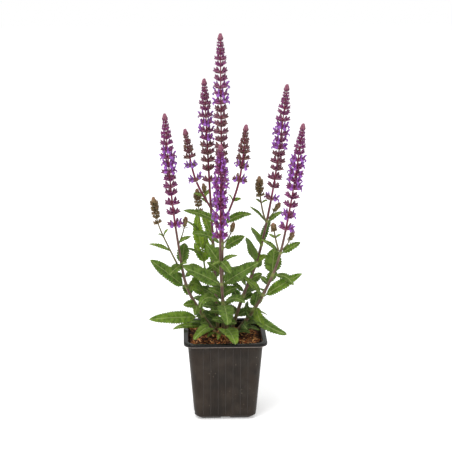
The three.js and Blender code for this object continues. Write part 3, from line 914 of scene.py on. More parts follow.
def make_corolla():
    """An open flower: a tube, a hood arching up and out, and a broader lower lip that hooks down."""
    tube = [(0, 0, 2.2, 0.5, 0.5), (0, 0, 5.0, 0.85, 0.9), (0, 0.1, 7.2, 1.15, 1.25)]
    hood = [
        (0, 0.3, 5.6, 0.9, 0.8, 0.0),
        (0, 1.2, 7.5, 1.0, 1.15, 0.0),
        (0, 2.1, 9.0, 0.95, 1.2, 0.0),
        (0, 2.5, 10.4, 0.75, 0.95, 0.0),
        (0, 2.2, 11.4, 0.35, 0.4, 0.0),
    ]
    lip = [
        (0, -0.4, 5.8, 1.1, 0.5, 0.1),
        (0, -1.4, 7.5, 1.7, 0.6, 0.3),
        (0, -2.6, 8.3, 2.2, 0.6, 0.4),
        (0, -3.7, 7.9, 2.0, 0.5, 0.25),
        (0, -4.3, 6.9, 1.0, 0.3, 0.0),
    ]
    parts = [loft("tube", tube, 5, 0.0, 0.5)]
    parts += [bent_loft("hood", hood, 0.4, 1.0), bent_loft("lip", lip, 0.4, 1.0)]
    return joined("corolla", [outward(part) for part in parts])


def make_bud():
    """A closed flower bud, a little drop."""
    sections = [(0, 0, 0, 0.3, 0.3), (0, 0, 1.0, 0.95, 0.95), (0, 0, 2.4, 1.1, 1.05)]
    sections += [(0, 0.1, 3.6, 0.7, 0.65), (0, 0.25, 4.4, 0.15, 0.15)]
    return outward(loft("bud", sections, 5))


def make_bract():
    """The small pointed leaf below a cluster of flowers."""
    stations = [
        (0, 0, 0, 0.7, 0.16, 0.1),
        (0, 0.1, 1.6, 1.9, 0.16, 0.35),
        (0, 0.3, 3.4, 1.7, 0.15, 0.35),
        (0, 0.3, 5.2, 0.8, 0.12, 0.2),
        (0, 0.1, 6.8, 0.12, 0.08, 0.0),
    ]
    return outward(bent_loft("bract", stations, 0.0, 1.0))


whorls_tree = make_whorls_tree()
calyx, corolla, bud, bract = make_calyx(), make_corolla(), make_bud(), make_bract()

# ---------------------------------------------------------------- flower spikes and young shoots

# Where each spike is in flower, in millimetres down from its tip, how many of its lowest whorls are, and how
# brown its closed calyces have turned.
IN_FLOWER = {
    "spike_tall": (51, 81, 0, 0.8),
    "spike_rear": (35, 70, 0, 0.9),
    "spike_left": (38, 70, 1, 0.3),
    "spike_front": (15, 200, 0, 0.2),
    "spike_right": (46, 73, 1, 0.7),
    "spike_far_right": (41, 76, 2, 0.3),
    "spike_branch_left": (0, 0, 2, 1.0),
    "spike_branch_right": (0, 0, 2, 1.0),
}
TIP_CONE = 8.5 * MM
SEAT = 0.9 * MM  # how far from the axis a full-size whorl's flowers are seated
BUD_HEAD, BUD_PAIR = 11 * MM, 13 * MM  # how far below a side bud's tip its head and its pair of bracts start
# The half thickness of a young stalk at its foot in millimetres, and how green it is.
YOUNG_STALKS = {"shoot_back": (1.55, 0.9)}
USUAL_YOUNG_STALK, SIDE_BUD_STALK = (1.15, 0.3), (0.85, 0.4)
RIPE_STALK = 1.3
NARROWEST_WHORL = 2.95 * MM
WHORL_REACH = 6.4 * MM  # the half width of a whorl whose flowers are of the size they are made


def spike_stations(node):
    """A spike's centre line, and how far along its whorls are and how wide."""
    path = path_of(rings_of(node, SPIKE_CORNERS, lowest))
    wide = path.radii
    crests = [
        i
        for i in range(1, len(wide) - 1)
        if wide[i] > NARROWEST_WHORL and wide[i] >= wide[i - 1] and wide[i] > wide[i + 1]
    ]
    feet = [path.keys[i - 1] for i in crests]
    return path, np.array(feet), wide[crests]


def tube_along(name, path, along, thick, young):
    """A round stalk. young is None for one in flower, or its half thickness and how green it is."""
    around = 8
    rings = tube_rings(path, along, thick, around, 0.08)
    round_way = np.linspace(0, 1, around + 1)
    if young:
        marks = {"joint": 0.0, "green": young[1]}
        return skin(name, rings, "skin", map_grid(round_way, along * CM), marks, stem_skin)
    share = (along - along[0]) / (along[-1] - along[0])
    return skin(name, rings, "part", map_grid(round_way, share), {"tone": 0.3}, stalk_burgundy)


def whorls(name, path, at, numbers, shape, finish, **inputs):
    """Copies of a shape in facing clusters round each station of a path."""
    mesh = points_mesh(name, path.at(at), {"axis": path.way(at)}, numbers)
    named = {key.replace("_", " ").title(): value for key, value in inputs.items()}
    return grown(name, mesh, whorls_tree, {"Shape": shape, "Finish": finish, **named})


def make_spike(name, path, feet, widths, in_flower, calyx_finish, tip_finish, young):
    """One spike: its stalk, the whorls with their bracts, and the closed tip."""
    rng = np.random.default_rng(len(name) * 31 + sum(map(ord, name)))
    bloom_top, bloom_end, low_count, brown = in_flower
    along = np.linspace(0, path.length - 1.5 * MM, 40)
    foot = young[0] if young else RIPE_STALK
    thick = np.interp(along, [0, 15 * MM, path.length], [foot * MM, 0.9 * foot * MM, 0.55 * MM])
    pieces = [tube_along(name + "_stalk", path, along, thick, young)]
    spin = np.arange(len(feet)) * math.pi / 2 + rng.uniform(-0.15, 0.15, len(feet))
    down = (path.length - feet) / MM
    lowest_ones = np.zeros(len(feet), bool)
    lowest_ones[np.argsort(feet)[:low_count]] = True
    open_share = np.where((down > bloom_top) & (down < bloom_end), 0.66, 0.0)
    open_share = np.where(lowest_ones, 0.6, open_share)
    age = np.where(down > bloom_end, brown, 0.4 * brown)
    reach = widths / WHORL_REACH
    # The shortest shoots are held in, and the whorls of a ripe spike widen from its tip down.
    if young:
        reach = reach * (1.12 if len(feet) > 3 else 0.82)
    else:
        reach = reach * np.interp(down, [8, 30], [0.74, 1.04])
    seed, seat = int(rng.integers(1000)), SEAT
    bloom = {"count": 8, "rise": 0.42, "rise_spread": 0.14, "fan": 0.66}
    leafy = {"count": 2, "rise": 0.1, "rise_spread": 0.0, "fan": 0.0}
    for label, shape, finish, layout, share, size in [
        ("calyces", calyx, calyx_finish, bloom, 1.0, reach),
        ("flowers", corolla, flower_violet, bloom, open_share, reach * 0.76),
        ("bracts", bract, calyx_finish, leafy, 1.0, reach * 0.85),
    ]:
        if np.any(share) and not (young and label == "flowers"):
            numbers = {"spin": spin, "reach": size, "share": share, "age": age}
            layout = {**layout, "seed": seed, "seat": seat}
            pieces.append(whorls(f"{name}_{label}", path, feet, numbers, shape, finish, **layout))
    cone = min(TIP_CONE, path.length * 0.5)
    rows = np.linspace(0, 1, 7)
    at = path.length - cone + rows * (cone - 2.2 * MM)
    sizes = np.interp(rows, [0, 0.5, 1], [0.9, 0.75, 0.45])
    numbers = {"spin": np.arange(len(rows)) * 0.9, "reach": sizes, "share": 1.0, "age": rows}
    layout = {"count": 6, "rise": 1.05, "rise_spread": 0.05, "fan": 1.0}
    pieces.append(whorls(name + "_tip", path, at, numbers, bud, tip_finish, seed=7, seat=seat, **layout))
    return joined(name, pieces)


for node in sorted(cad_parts):
    if node.startswith("spike_"):
        piece = make_spike("sage_" + node, *spike_stations(node), IN_FLOWER[node], calyx_skin, bud_pink, None)
        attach(piece, "root")
        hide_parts(node)
    if node.startswith("shoot_"):
        stalk = YOUNG_STALKS.get(node, USUAL_YOUNG_STALK)
        piece = make_spike("sage_" + node, *spike_stations(node), (0, 0, 0, 0.2), young_bud, young_bud, stalk)
        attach(piece, "root")
        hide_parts(node)

# Very young shoots in the axils: each is the stem it grows from and the points that its stalk passes.
SIDE_BUDS = {
    "left": [(-49, 3, 189), (-45, 7, 199), (-41, 10, 217)],
    "rear": [(-14, 24, 222), (-18, 38, 228), (-22, 48, 245)],
    "right": [(47.5, 24, 209), (55, 29, 217), (62, 33, 226)],
    "far_right": [(60.5, -4, 181), (68, -1, 189), (75, 3, 202)],
    "tall": [(0, 15, 186), (6, 21, 192), (11, 23, 207)],
}
for number, (stem, points) in enumerate(SIDE_BUDS.items()):
    path = Path(np.array(points) * MM, [0.7 * MM] * 3)
    along = np.linspace(0, path.length - 2 * MM, 24)
    thick = np.linspace(SIDE_BUD_STALK[0], 0.55, len(along)) * MM
    pieces = [tube_along("bud_stalk", path, along, thick, SIDE_BUD_STALK)]
    rows = np.linspace(0, 1, 6)
    at = path.length - BUD_HEAD + rows * 9.5 * MM
    sizes = np.interp(rows, [0, 0.4, 1], [0.75, 0.95, 0.45])
    numbers = {"spin": np.arange(len(rows)) * 1.2, "reach": sizes, "share": 1.0, "age": rows**2}
    layout = {"count": 6, "rise": 1.0, "rise_spread": 0.05, "fan": 1.0, "seat": 1.0 * MM, "seed": 40 + number}
    pieces.append(whorls("bud_head", path, at, numbers, bud, young_bud, **layout))
    at = np.array([path.length - BUD_PAIR])
    numbers = {"spin": 0.2, "reach": 0.9, "share": 1.0, "age": 0.0}
    layout = {"count": 2, "rise": 0.5, "rise_spread": 0.0, "fan": 0.0, "seat": 0.5 * MM, "seed": 50 + number}
    pieces.append(whorls("bud_pair", path, at, numbers, bract, young_bud, **layout))
    piece = joined("sage_side_bud_" + stem, pieces)
    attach(piece, "root")

for shape in (calyx, corolla, bud, bract):
    bpy.data.objects.remove(shape)

# ---------------------------------------------------------------- small leaves


def leaf_between(name, base, tip, width, tilt, arch, tone, seed):
    """A small leaf from its base to its tip, in millimetres. Tilt turns its face from the sky to the front,
    in degrees, and arch is how high it arches, as a share of its length."""
    base, tip = np.array(base, float) * MM, np.array(tip, float) * MM
    chord = tip - base
    ahead = unit(chord)
    flat = unit(np.cross(chord, (0, 0, 1)))
    turn = math.radians(-tilt if flat[1] > 0 else tilt)
    across = flat * math.cos(turn) + np.cross(ahead, flat) * math.sin(turn)
    lift = unit(np.cross(across, chord))
    control = (base + tip) / 2 + lift * arch * 2 * np.linalg.norm(chord)
    shares = np.array([0, 0.05, 0.14, 0.28, 0.45, 0.65, 0.85, 1])[:, None]
    centres = (1 - shares) ** 2 * base + 2 * shares * (1 - shares) * control + shares**2 * tip
    ways = unit(np.gradient(centres, axis=0))
    sides = unit(across - (ways @ across)[:, None] * ways)
    halves = np.array([0.14, 0.16, 0.62, 0.92, 1.0, 0.88, 0.55, 0.08]) * width * MM / 2
    return leaf_shape(name, shares[:, 0], centres, sides, np.cross(sides, ways), halves, tone, seed)


def on_stem(path, height, towards):
    """The point just inside a stem's skin at a height, on the side of a leaf's tip, in millimetres."""
    heights = path.at(path.keys)[:, 2]
    along = np.interp(height * MM, heights, path.keys)
    centre = path.at(along)[0] / MM
    out = np.array(towards, float) - centre
    return centre + unit(out) * path.radius(along) / MM * 0.6


# The stem that a small leaf grows from, how high, its tip, its width, its tilt and its tone. The tone is
# partly painted light: brighter where light shines through a leaf, darker in shade.
SMALL_LEAVES = [
    ("right", 118, (32, 30, 124), 10, 30, 0.25),
    ("left", 190, (-36, 3, 197), 6, 40, 0.5),
    ("left", 165, (-59, -15, 160), 12, 30, 0.4),
    ("left", 165, (-41, -15, 172), 9, 35, 0.6),
    ("left", 119, (-45, -11, 124), 11, 60, 0.6),
    ("left", 119, (-33, -16, 114), 10, 30, 0.55),
    ("front", 175, (5, -43, 169), 12, 20, 0.4),
    ("front", 175, (-14, -41, 178), 6, 40, 0.5),
    ("right", 162, (47, 18, 171), 9, 50, 0.9),
    ("right", 110, (49, 26, 99), 5, 30, 0.4),
    ("far_right", 117, (42, -21, 99), 12, 45, 0.65),
    ("far_right", 97, (24, -21, 99), 10, 50, 0.15),
    ("shoot_left", 182, (-81, -12, 193), 6, 45, 0.6),
    ("shoot_left", 199, (-71, -9, 203), 4, 30, 0.6),
    ("shoot_left", 199, (-60, -6, 208), 4.5, 40, 0.6),
    ("shoot_back", 165, (-42, 30, 176), 6, 30, 0.4),
    ("shoot_back", 190, (-42, 36, 206), 5, 30, 0.4),
    ("shoot_back", 172, (-29, 45, 211), 14, 60, 1.0),
    ("shoot_back", 172, (-20, 46, 192), 10, 60, 0.9),
    ("shoot_back", 158, (-18, 44, 182), 10, 50, 1.0),
    ("shoot_back", 158, (-32, 46, 178), 9, 50, 1.0),
    ("shoot_right", 229, (47, 16, 233), 5, 30, 0.7),
    ("shoot_right", 229, (34, 20, 234), 4, 30, 0.7),
    ("shoot_far_right", 198, (60, -14, 203), 4.5, 40, 0.8),
    ("shoot_far_right", 198, (47, -10, 202), 4, 40, 0.8),
    ("branch_right", 235, (18, 3, 238), 6, 40, 0.9),
    ("branch_right", 235, (4, 4, 243), 4, 40, 0.9),
    ("branch_left", 236, (-33, 18, 241), 5, 40, 0.5),
    ("branch_left", 236, (-14, 26, 244), 5, 30, 0.5),
    ("rear", 222, (-26, 20, 236), 6, 30, 0.6),
    ("rear", 222, (-2, 28, 236), 6, 20, 0.8),
]
# Leaves crowded low down among the stems: as above.
LOW_LEAVES = [
    ("rear", 96, (-30, 30, 104), 12, 20, 0.2),
    ("rear", 108, (-16, 48, 112), 13, 10, 0.2),
    ("rear", 110, (-24, 6, 117), 11, 40, 0.15),
    ("rear", 124, (-30, 32, 131), 12, 30, 0.2),
    ("rear", 124, (6, 38, 130), 12, 20, 0.2),
    ("tall", 99, (14, 42, 103), 13, 20, 0.2),
    ("tall", 104, (12, 0, 110), 11, 50, 0.15),
    ("tall", 106, (-16, 4, 112), 11, 50, 0.2),
    ("tall", 126, (-18, 2, 138), 11, 60, 0.3),
    ("tall", 126, (14, 4, 139), 12, 60, 0.3),
    ("tall", 142, (12, -2, 156), 10, 60, 0.3),
    ("tall", 162, (8, -4, 176), 9, 60, 0.35),
    ("tall", 162, (-14, 6, 177), 9, 60, 0.35),
    ("right", 100, (36, 34, 104), 13, 20, 0.2),
    ("right", 104, (4, 24, 112), 10, 30, 0.2),
    ("right", 116, (10, 36, 128), 11, 20, 0.3),
    ("right", 134, (14, 14, 148), 10, 40, 0.3),
    ("right", 134, (42, 34, 143), 10, 30, 0.5),
    ("right", 146, (24, 16, 163), 10, 30, 0.6),
    ("far_right", 100, (38, 22, 103), 13, 20, 0.2),
    ("far_right", 103, (24, -10, 112), 11, 50, 0.2),
    ("left", 98, (-26, -6, 101), 12, 40, 0.3),
    ("left", 100, (-30, 28, 103), 13, 20, 0.2),
    ("left", 128, (-44, 26, 136), 11, 20, 0.4),
    ("front", 100, (12, -22, 106), 11, 40, 0.3),
    ("front", 101, (-14, -14, 108), 11, 40, 0.25),
    ("front", 112, (10, -6, 119), 9, 50, 0.3),
    ("shoot_back", 112, (-34, 40, 116), 12, 20, 0.3),
    ("shoot_back", 134, (-36, 38, 143), 10, 20, 0.4),
    ("shoot_back", 134, (-2, 42, 146), 10, 20, 0.4),
]
# Stems that carry more pairs of leaves, mostly on the far side, and the heights of the pairs.
MORE_PAIRS = {
    "tall": (112, 134, 152),
    "rear": (117, 133, 149),
    "right": (128, 142, 155),
    "left": (109, 133, 150),
    "far_right": (107, 123, 143),
    "shoot_back": (122, 146),
}
FURTHEST_BACK = 46  # no tip of such a leaf lies behind this, in millimetres
# Leaves that grow from the crown: the base, the tip, the width, the tilt and the tone of each, the tone
# partly painted light as above.
CROWN_LEAVES = [
    ((-9, -1, 85), (-19, -19, 90), 8, 10, 1.0),
    ((-6, -3, 85), (-8, -20, 87), 5, 10, 0.9),
    ((14, 0, 86), (27, -16, 93), 11, 20, 0.2),
    ((16, 4, 86), (38, -4, 92), 11, 10, 0.2),
    ((18, 14, 86), (40, 18, 92), 12, 10, 0.25),
    ((6, 21, 86), (12, 42, 92), 12, 0, 0.2),
    ((-10, 20, 86), (-22, 40, 94), 12, 0, 0.2),
    ((-14, 10, 86), (-38, 14, 96), 11, 20, 0.2),
]


def stem_named(name):
    return paths["stem_" + name if "stem_" + name in paths else name]


shoot_nodes = [n for n in sorted(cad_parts) if n.startswith("shoot_")]
paths.update({n: path_of(rings_of(n, SPIKE_CORNERS, lowest)) for n in shoot_nodes})
bunches = {}
for number, (stem, height, tip, width, tilt, tone) in enumerate(SMALL_LEAVES + LOW_LEAVES):
    base = on_stem(stem_named(stem), height, tip)
    small = leaf_between(f"small_{number}", base, tip, width, tilt, 0.1, tone, 500 + number)
    bunches.setdefault(stem, []).append(small)
draw = random.Random(11).uniform
for stem, heights in MORE_PAIRS.items():
    path = stem_named(stem)
    for height in heights:
        turn = draw(-0.5, 0.5) + (0.5 if height % 2 else 0.0) * math.pi
        for way in (turn, turn + math.pi):
            middle = on_stem(path, height, (0, 0, height))
            length = draw(13, 22)
            backward = 0.45 * length + length * 0.6 * math.sin(way)
            tip = middle + [length * math.cos(way), backward, draw(3, 12)]
            tip[1] = min(tip[1], FURTHEST_BACK)
            base = on_stem(path, height, tip)
            width, tilt = length * draw(0.4, 0.55), draw(10, 60)
            tone = draw(0.1, 0.7)
            small = leaf_between(f"pair_{stem}_{height}", base, tip, width, tilt, 0.12, tone, int(height * 7))
            bunches.setdefault(stem, []).append(small)
for number, (base, tip, width, tilt, tone) in enumerate(CROWN_LEAVES):
    small = leaf_between(f"low_{number}", base, tip, width, tilt, 0.2, tone, 700 + number)
    bunches.setdefault("crown", []).append(small)
for stem, leaves in bunches.items():
    piece = joined("sage_small_leaves_" + stem, leaves)
    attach(piece, "root")

# ---------------------------------------------------------------- pot

# The pot's sizes in millimetres: widths are between opposite walls, corners are radii.
pot_low, pot_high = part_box("nursery_pot")
RIM_WIDTH = (pot_high[0] - pot_low[0]) / MM
POT_TOP = pot_high[2] / MM
FOOT_WIDTH, FOOT_CORNER = 66.0, 8.0
FOOT_IN, FOOT_UP = 4.6, 4.0  # how far the bevel of the foot goes in and up
WALL, POT_FLOOR, FLOOR_CURVE = 0.9, 3.0, 3
LIP_DROP, LIP_OUT, RIM_CORNER, RIM_ROLL = 3.2, 4.6, 11.0, 0.9
LIP_EDGE = POT_TOP - LIP_DROP
LIP_WIDTH = RIM_WIDTH - 2 * LIP_OUT
CHANNEL_WIDTH, CHANNEL_DEPTH = 10.0, 2.2
DRAIN_RADIUS, DRAIN_SPACING = 3.5, 38.0
RIBS_PER_SIDE, RIB_PITCH, RIB_FOOT, RIB_GAP = 7, 8.0, 6, 3.5


def on_side(turn, a, out):
    """The level place a to the side and out from the middle, for the side of the pot that faces a turn."""
    return out * math.sin(turn) + a * math.cos(turn), -out * math.cos(turn) + a * math.sin(turn)


def pot_ring(width, corner, z, arc=10, along=8):
    """A square with round corners, level, in millimetres."""
    square = width / 2 - corner
    ring = []
    for side in range(4):
        turn = side * math.pi / 2
        local = [(a, width / 2) for a in np.linspace(-square, square, along, endpoint=False)]
        angles = np.linspace(0, math.pi / 2, arc, endpoint=False)
        local += [(square + corner * math.sin(a), square + corner * math.cos(a)) for a in angles]
        ring += [(*on_side(turn, a, out), z) for a, out in local]
    return np.array(ring)


def wall_at(z):
    """The wall's outer width and corner at a height."""
    share = z / LIP_EDGE
    width = FOOT_WIDTH + (LIP_WIDTH - FOOT_WIDTH) * share
    return width, FOOT_CORNER + (RIM_CORNER - 2 - FOOT_CORNER) * share


def arc_steps(count):
    """Points round a quarter turn: how far in, how far up, each a share of the radius."""
    angles = np.linspace(0, math.pi / 2, count)
    return [(1 - math.sin(a), 1 - math.cos(a)) for a in angles]


def make_pot():
    """The square pot: bevelled foot, hollow lip, rolled rim, and a plain wall inside."""
    levels = []
    for inset, rise in [(1, 0), (0.97, 0.02), (0.5, 0.48), (0.05, 0.94), (0, 1), (0, 1.1)]:
        width, corner = wall_at(rise * FOOT_UP)
        levels.append((width - 2 * inset * FOOT_IN, corner - inset * FOOT_IN * 0.5, rise * FOOT_UP))
    under = POT_TOP - WALL - 0.2
    levels += [(*wall_at(z), z) for z in np.linspace(FOOT_UP + 4, under, 12)]
    levels += [
        (RIM_WIDTH - 2 * WALL, RIM_CORNER - WALL, under),
        (RIM_WIDTH - 2 * WALL, RIM_CORNER - WALL, LIP_EDGE + 0.2),
        (RIM_WIDTH - 1.4 * WALL, RIM_CORNER - 0.7 * WALL, LIP_EDGE),
        (RIM_WIDTH - 0.3, RIM_CORNER - 0.1, LIP_EDGE),
        (RIM_WIDTH, RIM_CORNER, LIP_EDGE + 0.25),
    ]
    for inset, rise in arc_steps(6):
        out, up = (1 - rise) * RIM_ROLL, (1 - inset) * RIM_ROLL
        width, corner = RIM_WIDTH - 2 * (RIM_ROLL - out), RIM_CORNER - RIM_ROLL + out
        levels.append((width, corner, POT_TOP - RIM_ROLL + up))
    inner, inner_corner = wall_at(POT_TOP)
    for inset, rise in arc_steps(6):
        roll = RIM_ROLL * inset
        levels.append((inner - 2 * WALL + 2 * roll, inner_corner - WALL + roll, POT_TOP - RIM_ROLL * rise))
    for z in np.linspace(POT_TOP - 3, POT_FLOOR + FLOOR_CURVE, 12):
        width, corner = wall_at(z)
        levels.append((width - 2 * WALL, corner - WALL, z))
    for inset, rise in reversed(arc_steps(5)):
        width, corner = wall_at(POT_FLOOR + FLOOR_CURVE)
        shrink = FLOOR_CURVE * inset
        level = width - 2 * WALL - 2 * shrink, corner - WALL - shrink * 0.9, POT_FLOOR + FLOOR_CURVE * rise
        levels.append(level)
    return skin("pot", np.array([pot_ring(*level) for level in levels]) * MM)


def cutter(name, build, *sizes):
    """A throwaway object whose mesh the build function makes."""
    mesh = bpy.data.meshes.new(name)
    shape = bmesh.new()
    build(shape, *sizes)
    shape.to_mesh(mesh)
    shape.free()
    return in_scene(name, mesh)


def block(shape, *size):
    bmesh.ops.create_cube(shape, size=1)
    bmesh.ops.scale(shape, vec=Vector(size) * MM, verts=shape.verts)


def drain_holes(shape):
    """Cylinders for the middle hole and the four towards the corners."""
    for x, y in [(0, 0), (-1, -1), (1, -1), (-1, 1), (1, 1)]:
        radius = DRAIN_RADIUS * MM
        new = bmesh.ops.create_cone(
            shape, cap_ends=True, segments=28, radius1=radius, radius2=radius, depth=12 * MM
        )
        bmesh.ops.translate(shape, vec=Vector((x, y, 0)) * DRAIN_SPACING / 2 * MM, verts=new["verts"])


def cut(piece, tools):
    """Takes the cutters out of a piece and throws them away."""
    for tool in tools:
        modifier = piece.modifiers.new("cut", "BOOLEAN")
        modifier.operation = "DIFFERENCE"
        modifier.solver = "EXACT"
        modifier.object = tool
    evaluated = piece.evaluated_get(bpy.context.evaluated_depsgraph_get())
    piece.data = bpy.data.meshes.new_from_object(evaluated)
    piece.modifiers.clear()
    for tool in tools:
        bpy.data.objects.remove(tool)


def make_ribs_tree():
    """One rib standing at each point, turned as the point says."""
    tree, entry = geometry_tree("ribs", {"Shape": "Object", "Finish": "Material"})
    rotation = add(tree, "FunctionNodeEulerToRotation", {0: mark(tree, "turn", "FLOAT_VECTOR")}).outputs[0]
    shape = add(tree, "GeometryNodeObjectInfo", {"Object": entry["Shape"]}).outputs["Geometry"]
    inputs = {"Points": entry["Geometry"], "Instance": shape, "Rotation": rotation}
    end_tree(tree, add(tree, "GeometryNodeInstanceOnPoints", inputs).outputs[0], entry["Finish"])
    return tree


pot = make_pot()
tools = [
    cutter("channel_along", block, RIM_WIDTH, CHANNEL_WIDTH, 2 * CHANNEL_DEPTH),
    cutter("channel_across", block, CHANNEL_WIDTH, RIM_WIDTH, 2 * CHANNEL_DEPTH),
    cutter("drains", drain_holes),
]
cut(pot, tools)
pot.data.materials.clear()
pot.data.materials.append(pot_plastic)
rise = LIP_EDGE - RIB_GAP - RIB_FOOT
slope = math.atan((LIP_WIDTH - FOOT_WIDTH) / 2 / LIP_EDGE)
run = [(0, 0, z, 0.32, 0.4) for z in np.linspace(2, rise, 8)]
rib = outward(loft("rib", [(0, 0, 0, 0.15, 0.05), *run, (0, 0, rise + 2, 0.15, 0.05)], 8))
# The mark "rib" tells the pot's material where to paint the ribs' painted highlight.
rib.data.attributes.new("rib", "FLOAT", "POINT").data.foreach_set("value", [1.0] * len(rib.data.vertices))
places, turns = [], []
for side in range(4):
    turn = side * math.pi / 2
    out = wall_at(RIB_FOOT)[0] / 2
    for number in range(RIBS_PER_SIDE):
        a = (number - (RIBS_PER_SIDE - 1) / 2) * RIB_PITCH
        places.append((*on_side(turn, a, out), RIB_FOOT))
        turns.append((slope, 0, turn))
rib_points = points_mesh("rib_points", np.array(places) * MM, {"turn": turns})
ribs = grown("ribs", rib_points, make_ribs_tree(), {"Shape": rib, "Finish": pot_plastic})
bpy.data.objects.remove(rib)
pot.data.set_sharp_from_angle(angle=math.radians(40))
piece = joined("ribbed_pot", [pot, ribs])
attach(piece, "root")
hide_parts("nursery_pot")

# ---------------------------------------------------------------- potting mix


def bumpy(points, size, seed):
    """A smooth wandering value for each point, from -1 to 1."""
    rng = np.random.default_rng(seed)
    total = np.zeros(points.shape[:-1])
    for _ in range(10):
        way = unit(rng.normal(size=3)) * 2 * math.pi / (size * rng.uniform(0.6, 1.6))
        total += np.sin(points @ way + rng.uniform(0, 6.3))
    return total / 4.5


mix_bottom, mix_top = (corner[2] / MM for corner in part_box("potting_mix"))
MIX_EDGE, MIX_HEAP = 81, 3.2  # how high the mix stands at the wall, and how much higher in the middle
MIX_GAP = 0.7  # what is left between the mix and the walls, both sides together


def mix_surface(share):
    """A ring of the top surface, from the wall (1) to the middle (0)."""
    width, corner = wall_at(MIX_EDGE)
    edge = width - 2 * WALL - MIX_GAP
    ring = pot_ring(edge * share, max(corner * share, 0.3 * share), 0)
    ring[:, 2] = MIX_EDGE + MIX_HEAP * (1 - share**2) ** 0.8
    ring[:, 2] += 0.9 * bumpy(ring * [1, 1, 0], 11, 3) * (1 - share**6) + 0.5 * bumpy(ring * [1, 1, 0], 4, 4)
    ring[:, 2] = np.minimum(ring[:, 2], mix_top)
    return ring


def make_mix():
    """The block of mix that fills the pot, with an uneven top."""
    width, corner = wall_at(mix_bottom)
    rings = [pot_ring(width - 9, corner - 3, mix_bottom)]
    for z in np.linspace(mix_bottom + 3.2, MIX_EDGE - 3, 9):
        width, corner = wall_at(z)
        rings.append(pot_ring(width - 2 * WALL - MIX_GAP, corner - 1.2, z))
    rings += [mix_surface(share) for share in np.linspace(1, 0.03, 40)]
    return skin("mix", np.array(rings) * MM, finish=mix_earth)


def make_bed():
    """The open top of the mix that loose bits lie on, kept clear of the wall."""
    rings = np.array([mix_surface(share) for share in np.linspace(0.94, 0.02, 24)]) * MM
    mesh = bpy.data.meshes.new("bed")
    mesh.from_pydata(rings.reshape(-1, 3).tolist(), [], quads_between(*rings.shape[:2]))
    return mesh


def make_litter_tree():
    """Loose bits scattered over a surface, lying at random and each of its own size and tone."""
    inputs = {"Shape": "Object", "Finish": "Material", "Density": "Float", "Smallest": "Float"}
    inputs.update({"Largest": "Float", "Tumble": "Float", "Darkest": "Float", "Seed": "Int"})
    tree, entry = geometry_tree("litter", inputs)
    inputs = {"Mesh": entry["Geometry"], "Density": entry["Density"], "Seed": entry["Seed"]}
    spread = add(tree, "GeometryNodeDistributePointsOnFaces", inputs).outputs[0]
    pitch, roll = (times(tree, entry["Tumble"], chance(tree, -1.0, 1.0, seed)) for seed in (11, 12))
    angles = add(tree, "ShaderNodeCombineXYZ", {0: pitch, 1: roll, 2: chance(tree, 0.0, 6.28, 13)}).outputs[0]
    rotation = add(tree, "FunctionNodeEulerToRotation", {0: angles}).outputs[0]
    size = chance(tree, entry["Smallest"], entry["Largest"], 14)
    shape = add(tree, "GeometryNodeObjectInfo", {"Object": entry["Shape"]}).outputs["Geometry"]
    inputs = {"Points": spread, "Instance": shape, "Rotation": rotation, "Scale": size}
    bits = add(tree, "GeometryNodeInstanceOnPoints", inputs).outputs[0]
    end_tree(tree, toned(tree, bits, chance(tree, entry["Darkest"], 1.0, 15)), entry["Finish"])
    return tree


def lying(piece):
    """Lays a standing shape down, its length along X."""
    for vertex in piece.data.vertices:
        vertex.co = Vector((vertex.co.z, vertex.co.x, vertex.co.y))
    return outward(piece)


def make_chip():
    """A flat splinter of bark with uneven ends, 6 mm long."""
    sections = [(0.1, 0, -3.1, 0.3, 0.12), (0.2, 0.05, -2.6, 0.8, 0.3), (0, 0, -0.6, 1.0, 0.38)]
    sections += [(-0.1, 0.1, 1.6, 0.9, 0.33), (0.15, 0, 2.9, 0.35, 0.12)]
    return lying(loft("chip", sections, 5))


def make_fibre():
    """A bent thread of coir, 9 mm long."""
    rows = np.linspace(-4.5, 4.5, 7)
    sections = [(0.9 * math.cos(z / 2.6), 0.5 * math.sin(z / 2), z, 0.16, 0.16) for z in rows]
    return lying(loft("fibre", sections, 4))


def make_crumb():
    """A lump of peat, 2 mm across."""
    sections = [(0, 0, -1, 0.3, 0.35), (0.1, 0, -0.5, 0.9, 0.8)]
    sections += [(0, 0.1, 0.3, 1.0, 0.85), (0, 0, 0.9, 0.4, 0.5)]
    return outward(loft("crumb", sections, 6))


litter_tree = make_litter_tree()
chip, fibre, crumb = make_chip(), make_fibre(), make_crumb()
mix_pieces = [make_mix()]
# Loose bits: how many to a square metre, the smallest and largest size, how they tumble, the darkest tone.
for label, shape, finish, density, small, large, tumble, darkest in [
    ("crumbs", crumb, mix_earth, 110000, 0.3, 1.0, 1.0, 0.0),
    ("chips", chip, bark_bits, 100000, 0.45, 1.25, 0.6, 0.0),
    ("fibres", fibre, bark_bits, 90000, 0.3, 0.95, 0.5, 0.3),
]:
    inputs = {"Shape": shape, "Finish": finish, "Density": density, "Smallest": small, "Largest": large}
    inputs.update({"Tumble": tumble, "Darkest": darkest, "Seed": len(label)})
    mix_pieces.append(grown(label, make_bed(), litter_tree, inputs))
for shape in (chip, fibre, crumb):
    bpy.data.objects.remove(shape)
piece = joined("bark_and_peat_mix", mix_pieces)
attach(piece, "root")
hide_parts("potting_mix")

# ---------------------------------------------------------------- crown

crown_low, crown_high = (np.array(corner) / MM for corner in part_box("root_crown"))
# The cut stubs of old stems: where each stands, how far it leans and how high it is, in millimetres.
STUBS = [(-9, 5, -2, 6), (6, 3, 1, 5), (13, 12, 2, 6), (-3, 12, 0, 5), (3, 16, 1, 7)]
KNOT_SIDES, STUB_SIDES, STUB_RADIUS = 40, 10, 1.7


def circle(sides):
    """The points of a level circle of radius 1 round the origin."""
    turn = np.linspace(0, 2 * math.pi, sides, endpoint=False)
    return np.stack([np.cos(turn), np.sin(turn), np.zeros(sides)], 1)


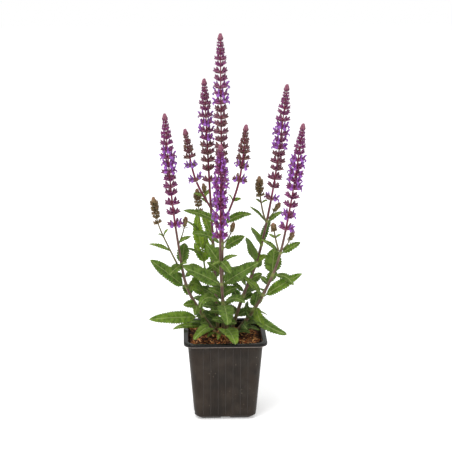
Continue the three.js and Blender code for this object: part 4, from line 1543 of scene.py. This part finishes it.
def make_crown():
    """A low woody knot with the cut stubs of old stems on it."""
    middle = (crown_low + crown_high) / 2
    half = (crown_high - crown_low) / 2
    rings = []
    for share in np.linspace(-0.98, 0.98, 26):
        round_out = math.sqrt(max(1 - abs(share) ** 2.6, 0))
        ring = circle(KNOT_SIDES) * half * round_out * 0.93
        ring += middle + [0, 0, share * half[2] * 0.97]
        lump = 1 + 0.09 * bumpy(ring, 7, 21) + 0.05 * bumpy(ring, 2.5, 22)
        ring[:, :2] = middle[:2] + (ring[:, :2] - middle[:2]) * np.clip(lump, 0.7, 1.07)[:, None]
        rings.append(ring)
    pieces = [skin("knot", np.array(rings) * MM, marks={"tone": 0.3}, finish=crown_bark)]
    for number, (x, y, lean, height) in enumerate(STUBS):
        base = np.array([x, y, crown_high[2] - 3])
        centres = [base, base + [lean * 0.5, -0.5, height / 2], base + [lean, -1, height]]
        radii = [STUB_RADIUS - 0.15 * step for step in range(len(centres))]
        rings = [centre + radius * circle(STUB_SIDES) for centre, radius in zip(centres, radii)]
        pieces.append(skin(f"stub_{number}", np.array(rings) * MM, marks={"tone": 0.8}, finish=crown_bark))
    return joined("woody_crown", pieces)


piece = make_crown()
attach(piece, "root")
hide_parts("root_crown")

# ---------------------------------------------------------------- floor

floor_mesh = bpy.data.meshes.new("floor")
floor_mesh.from_pydata([(-4, -4, 0), (4, -4, 0), (4, 4, 0), (-4, 4, 0)], [], [(0, 1, 2, 3)])
paper, paper_tree, paper_shader = material(
    "studio_paper", roughness=0.9, specular_ior_level=0.1, emission_color=(1, 1, 1, 1)
)
grain = use(paper_tree, mottling, Size=0.4, Detail=2.0)
paint(paper_tree, paper_shader, colour_mix(paper_tree, grain, (0.93, 0.93, 0.93), (0.95, 0.95, 0.95)))
# The paper glows a little, a bit more away from the middle: painted light that brightens the floor and
# softens the pot's shadow on it.
from_middle = vector_calc(paper_tree, "LENGTH", place_on(paper_tree), output="Value")
feed(paper_tree, ramp(paper_tree, from_middle, 0.1, 1.2, 0.33, 0.4), paper_shader.inputs["Emission Strength"])
floor_mesh.materials.append(paper)
floor = in_scene("floor", floor_mesh)
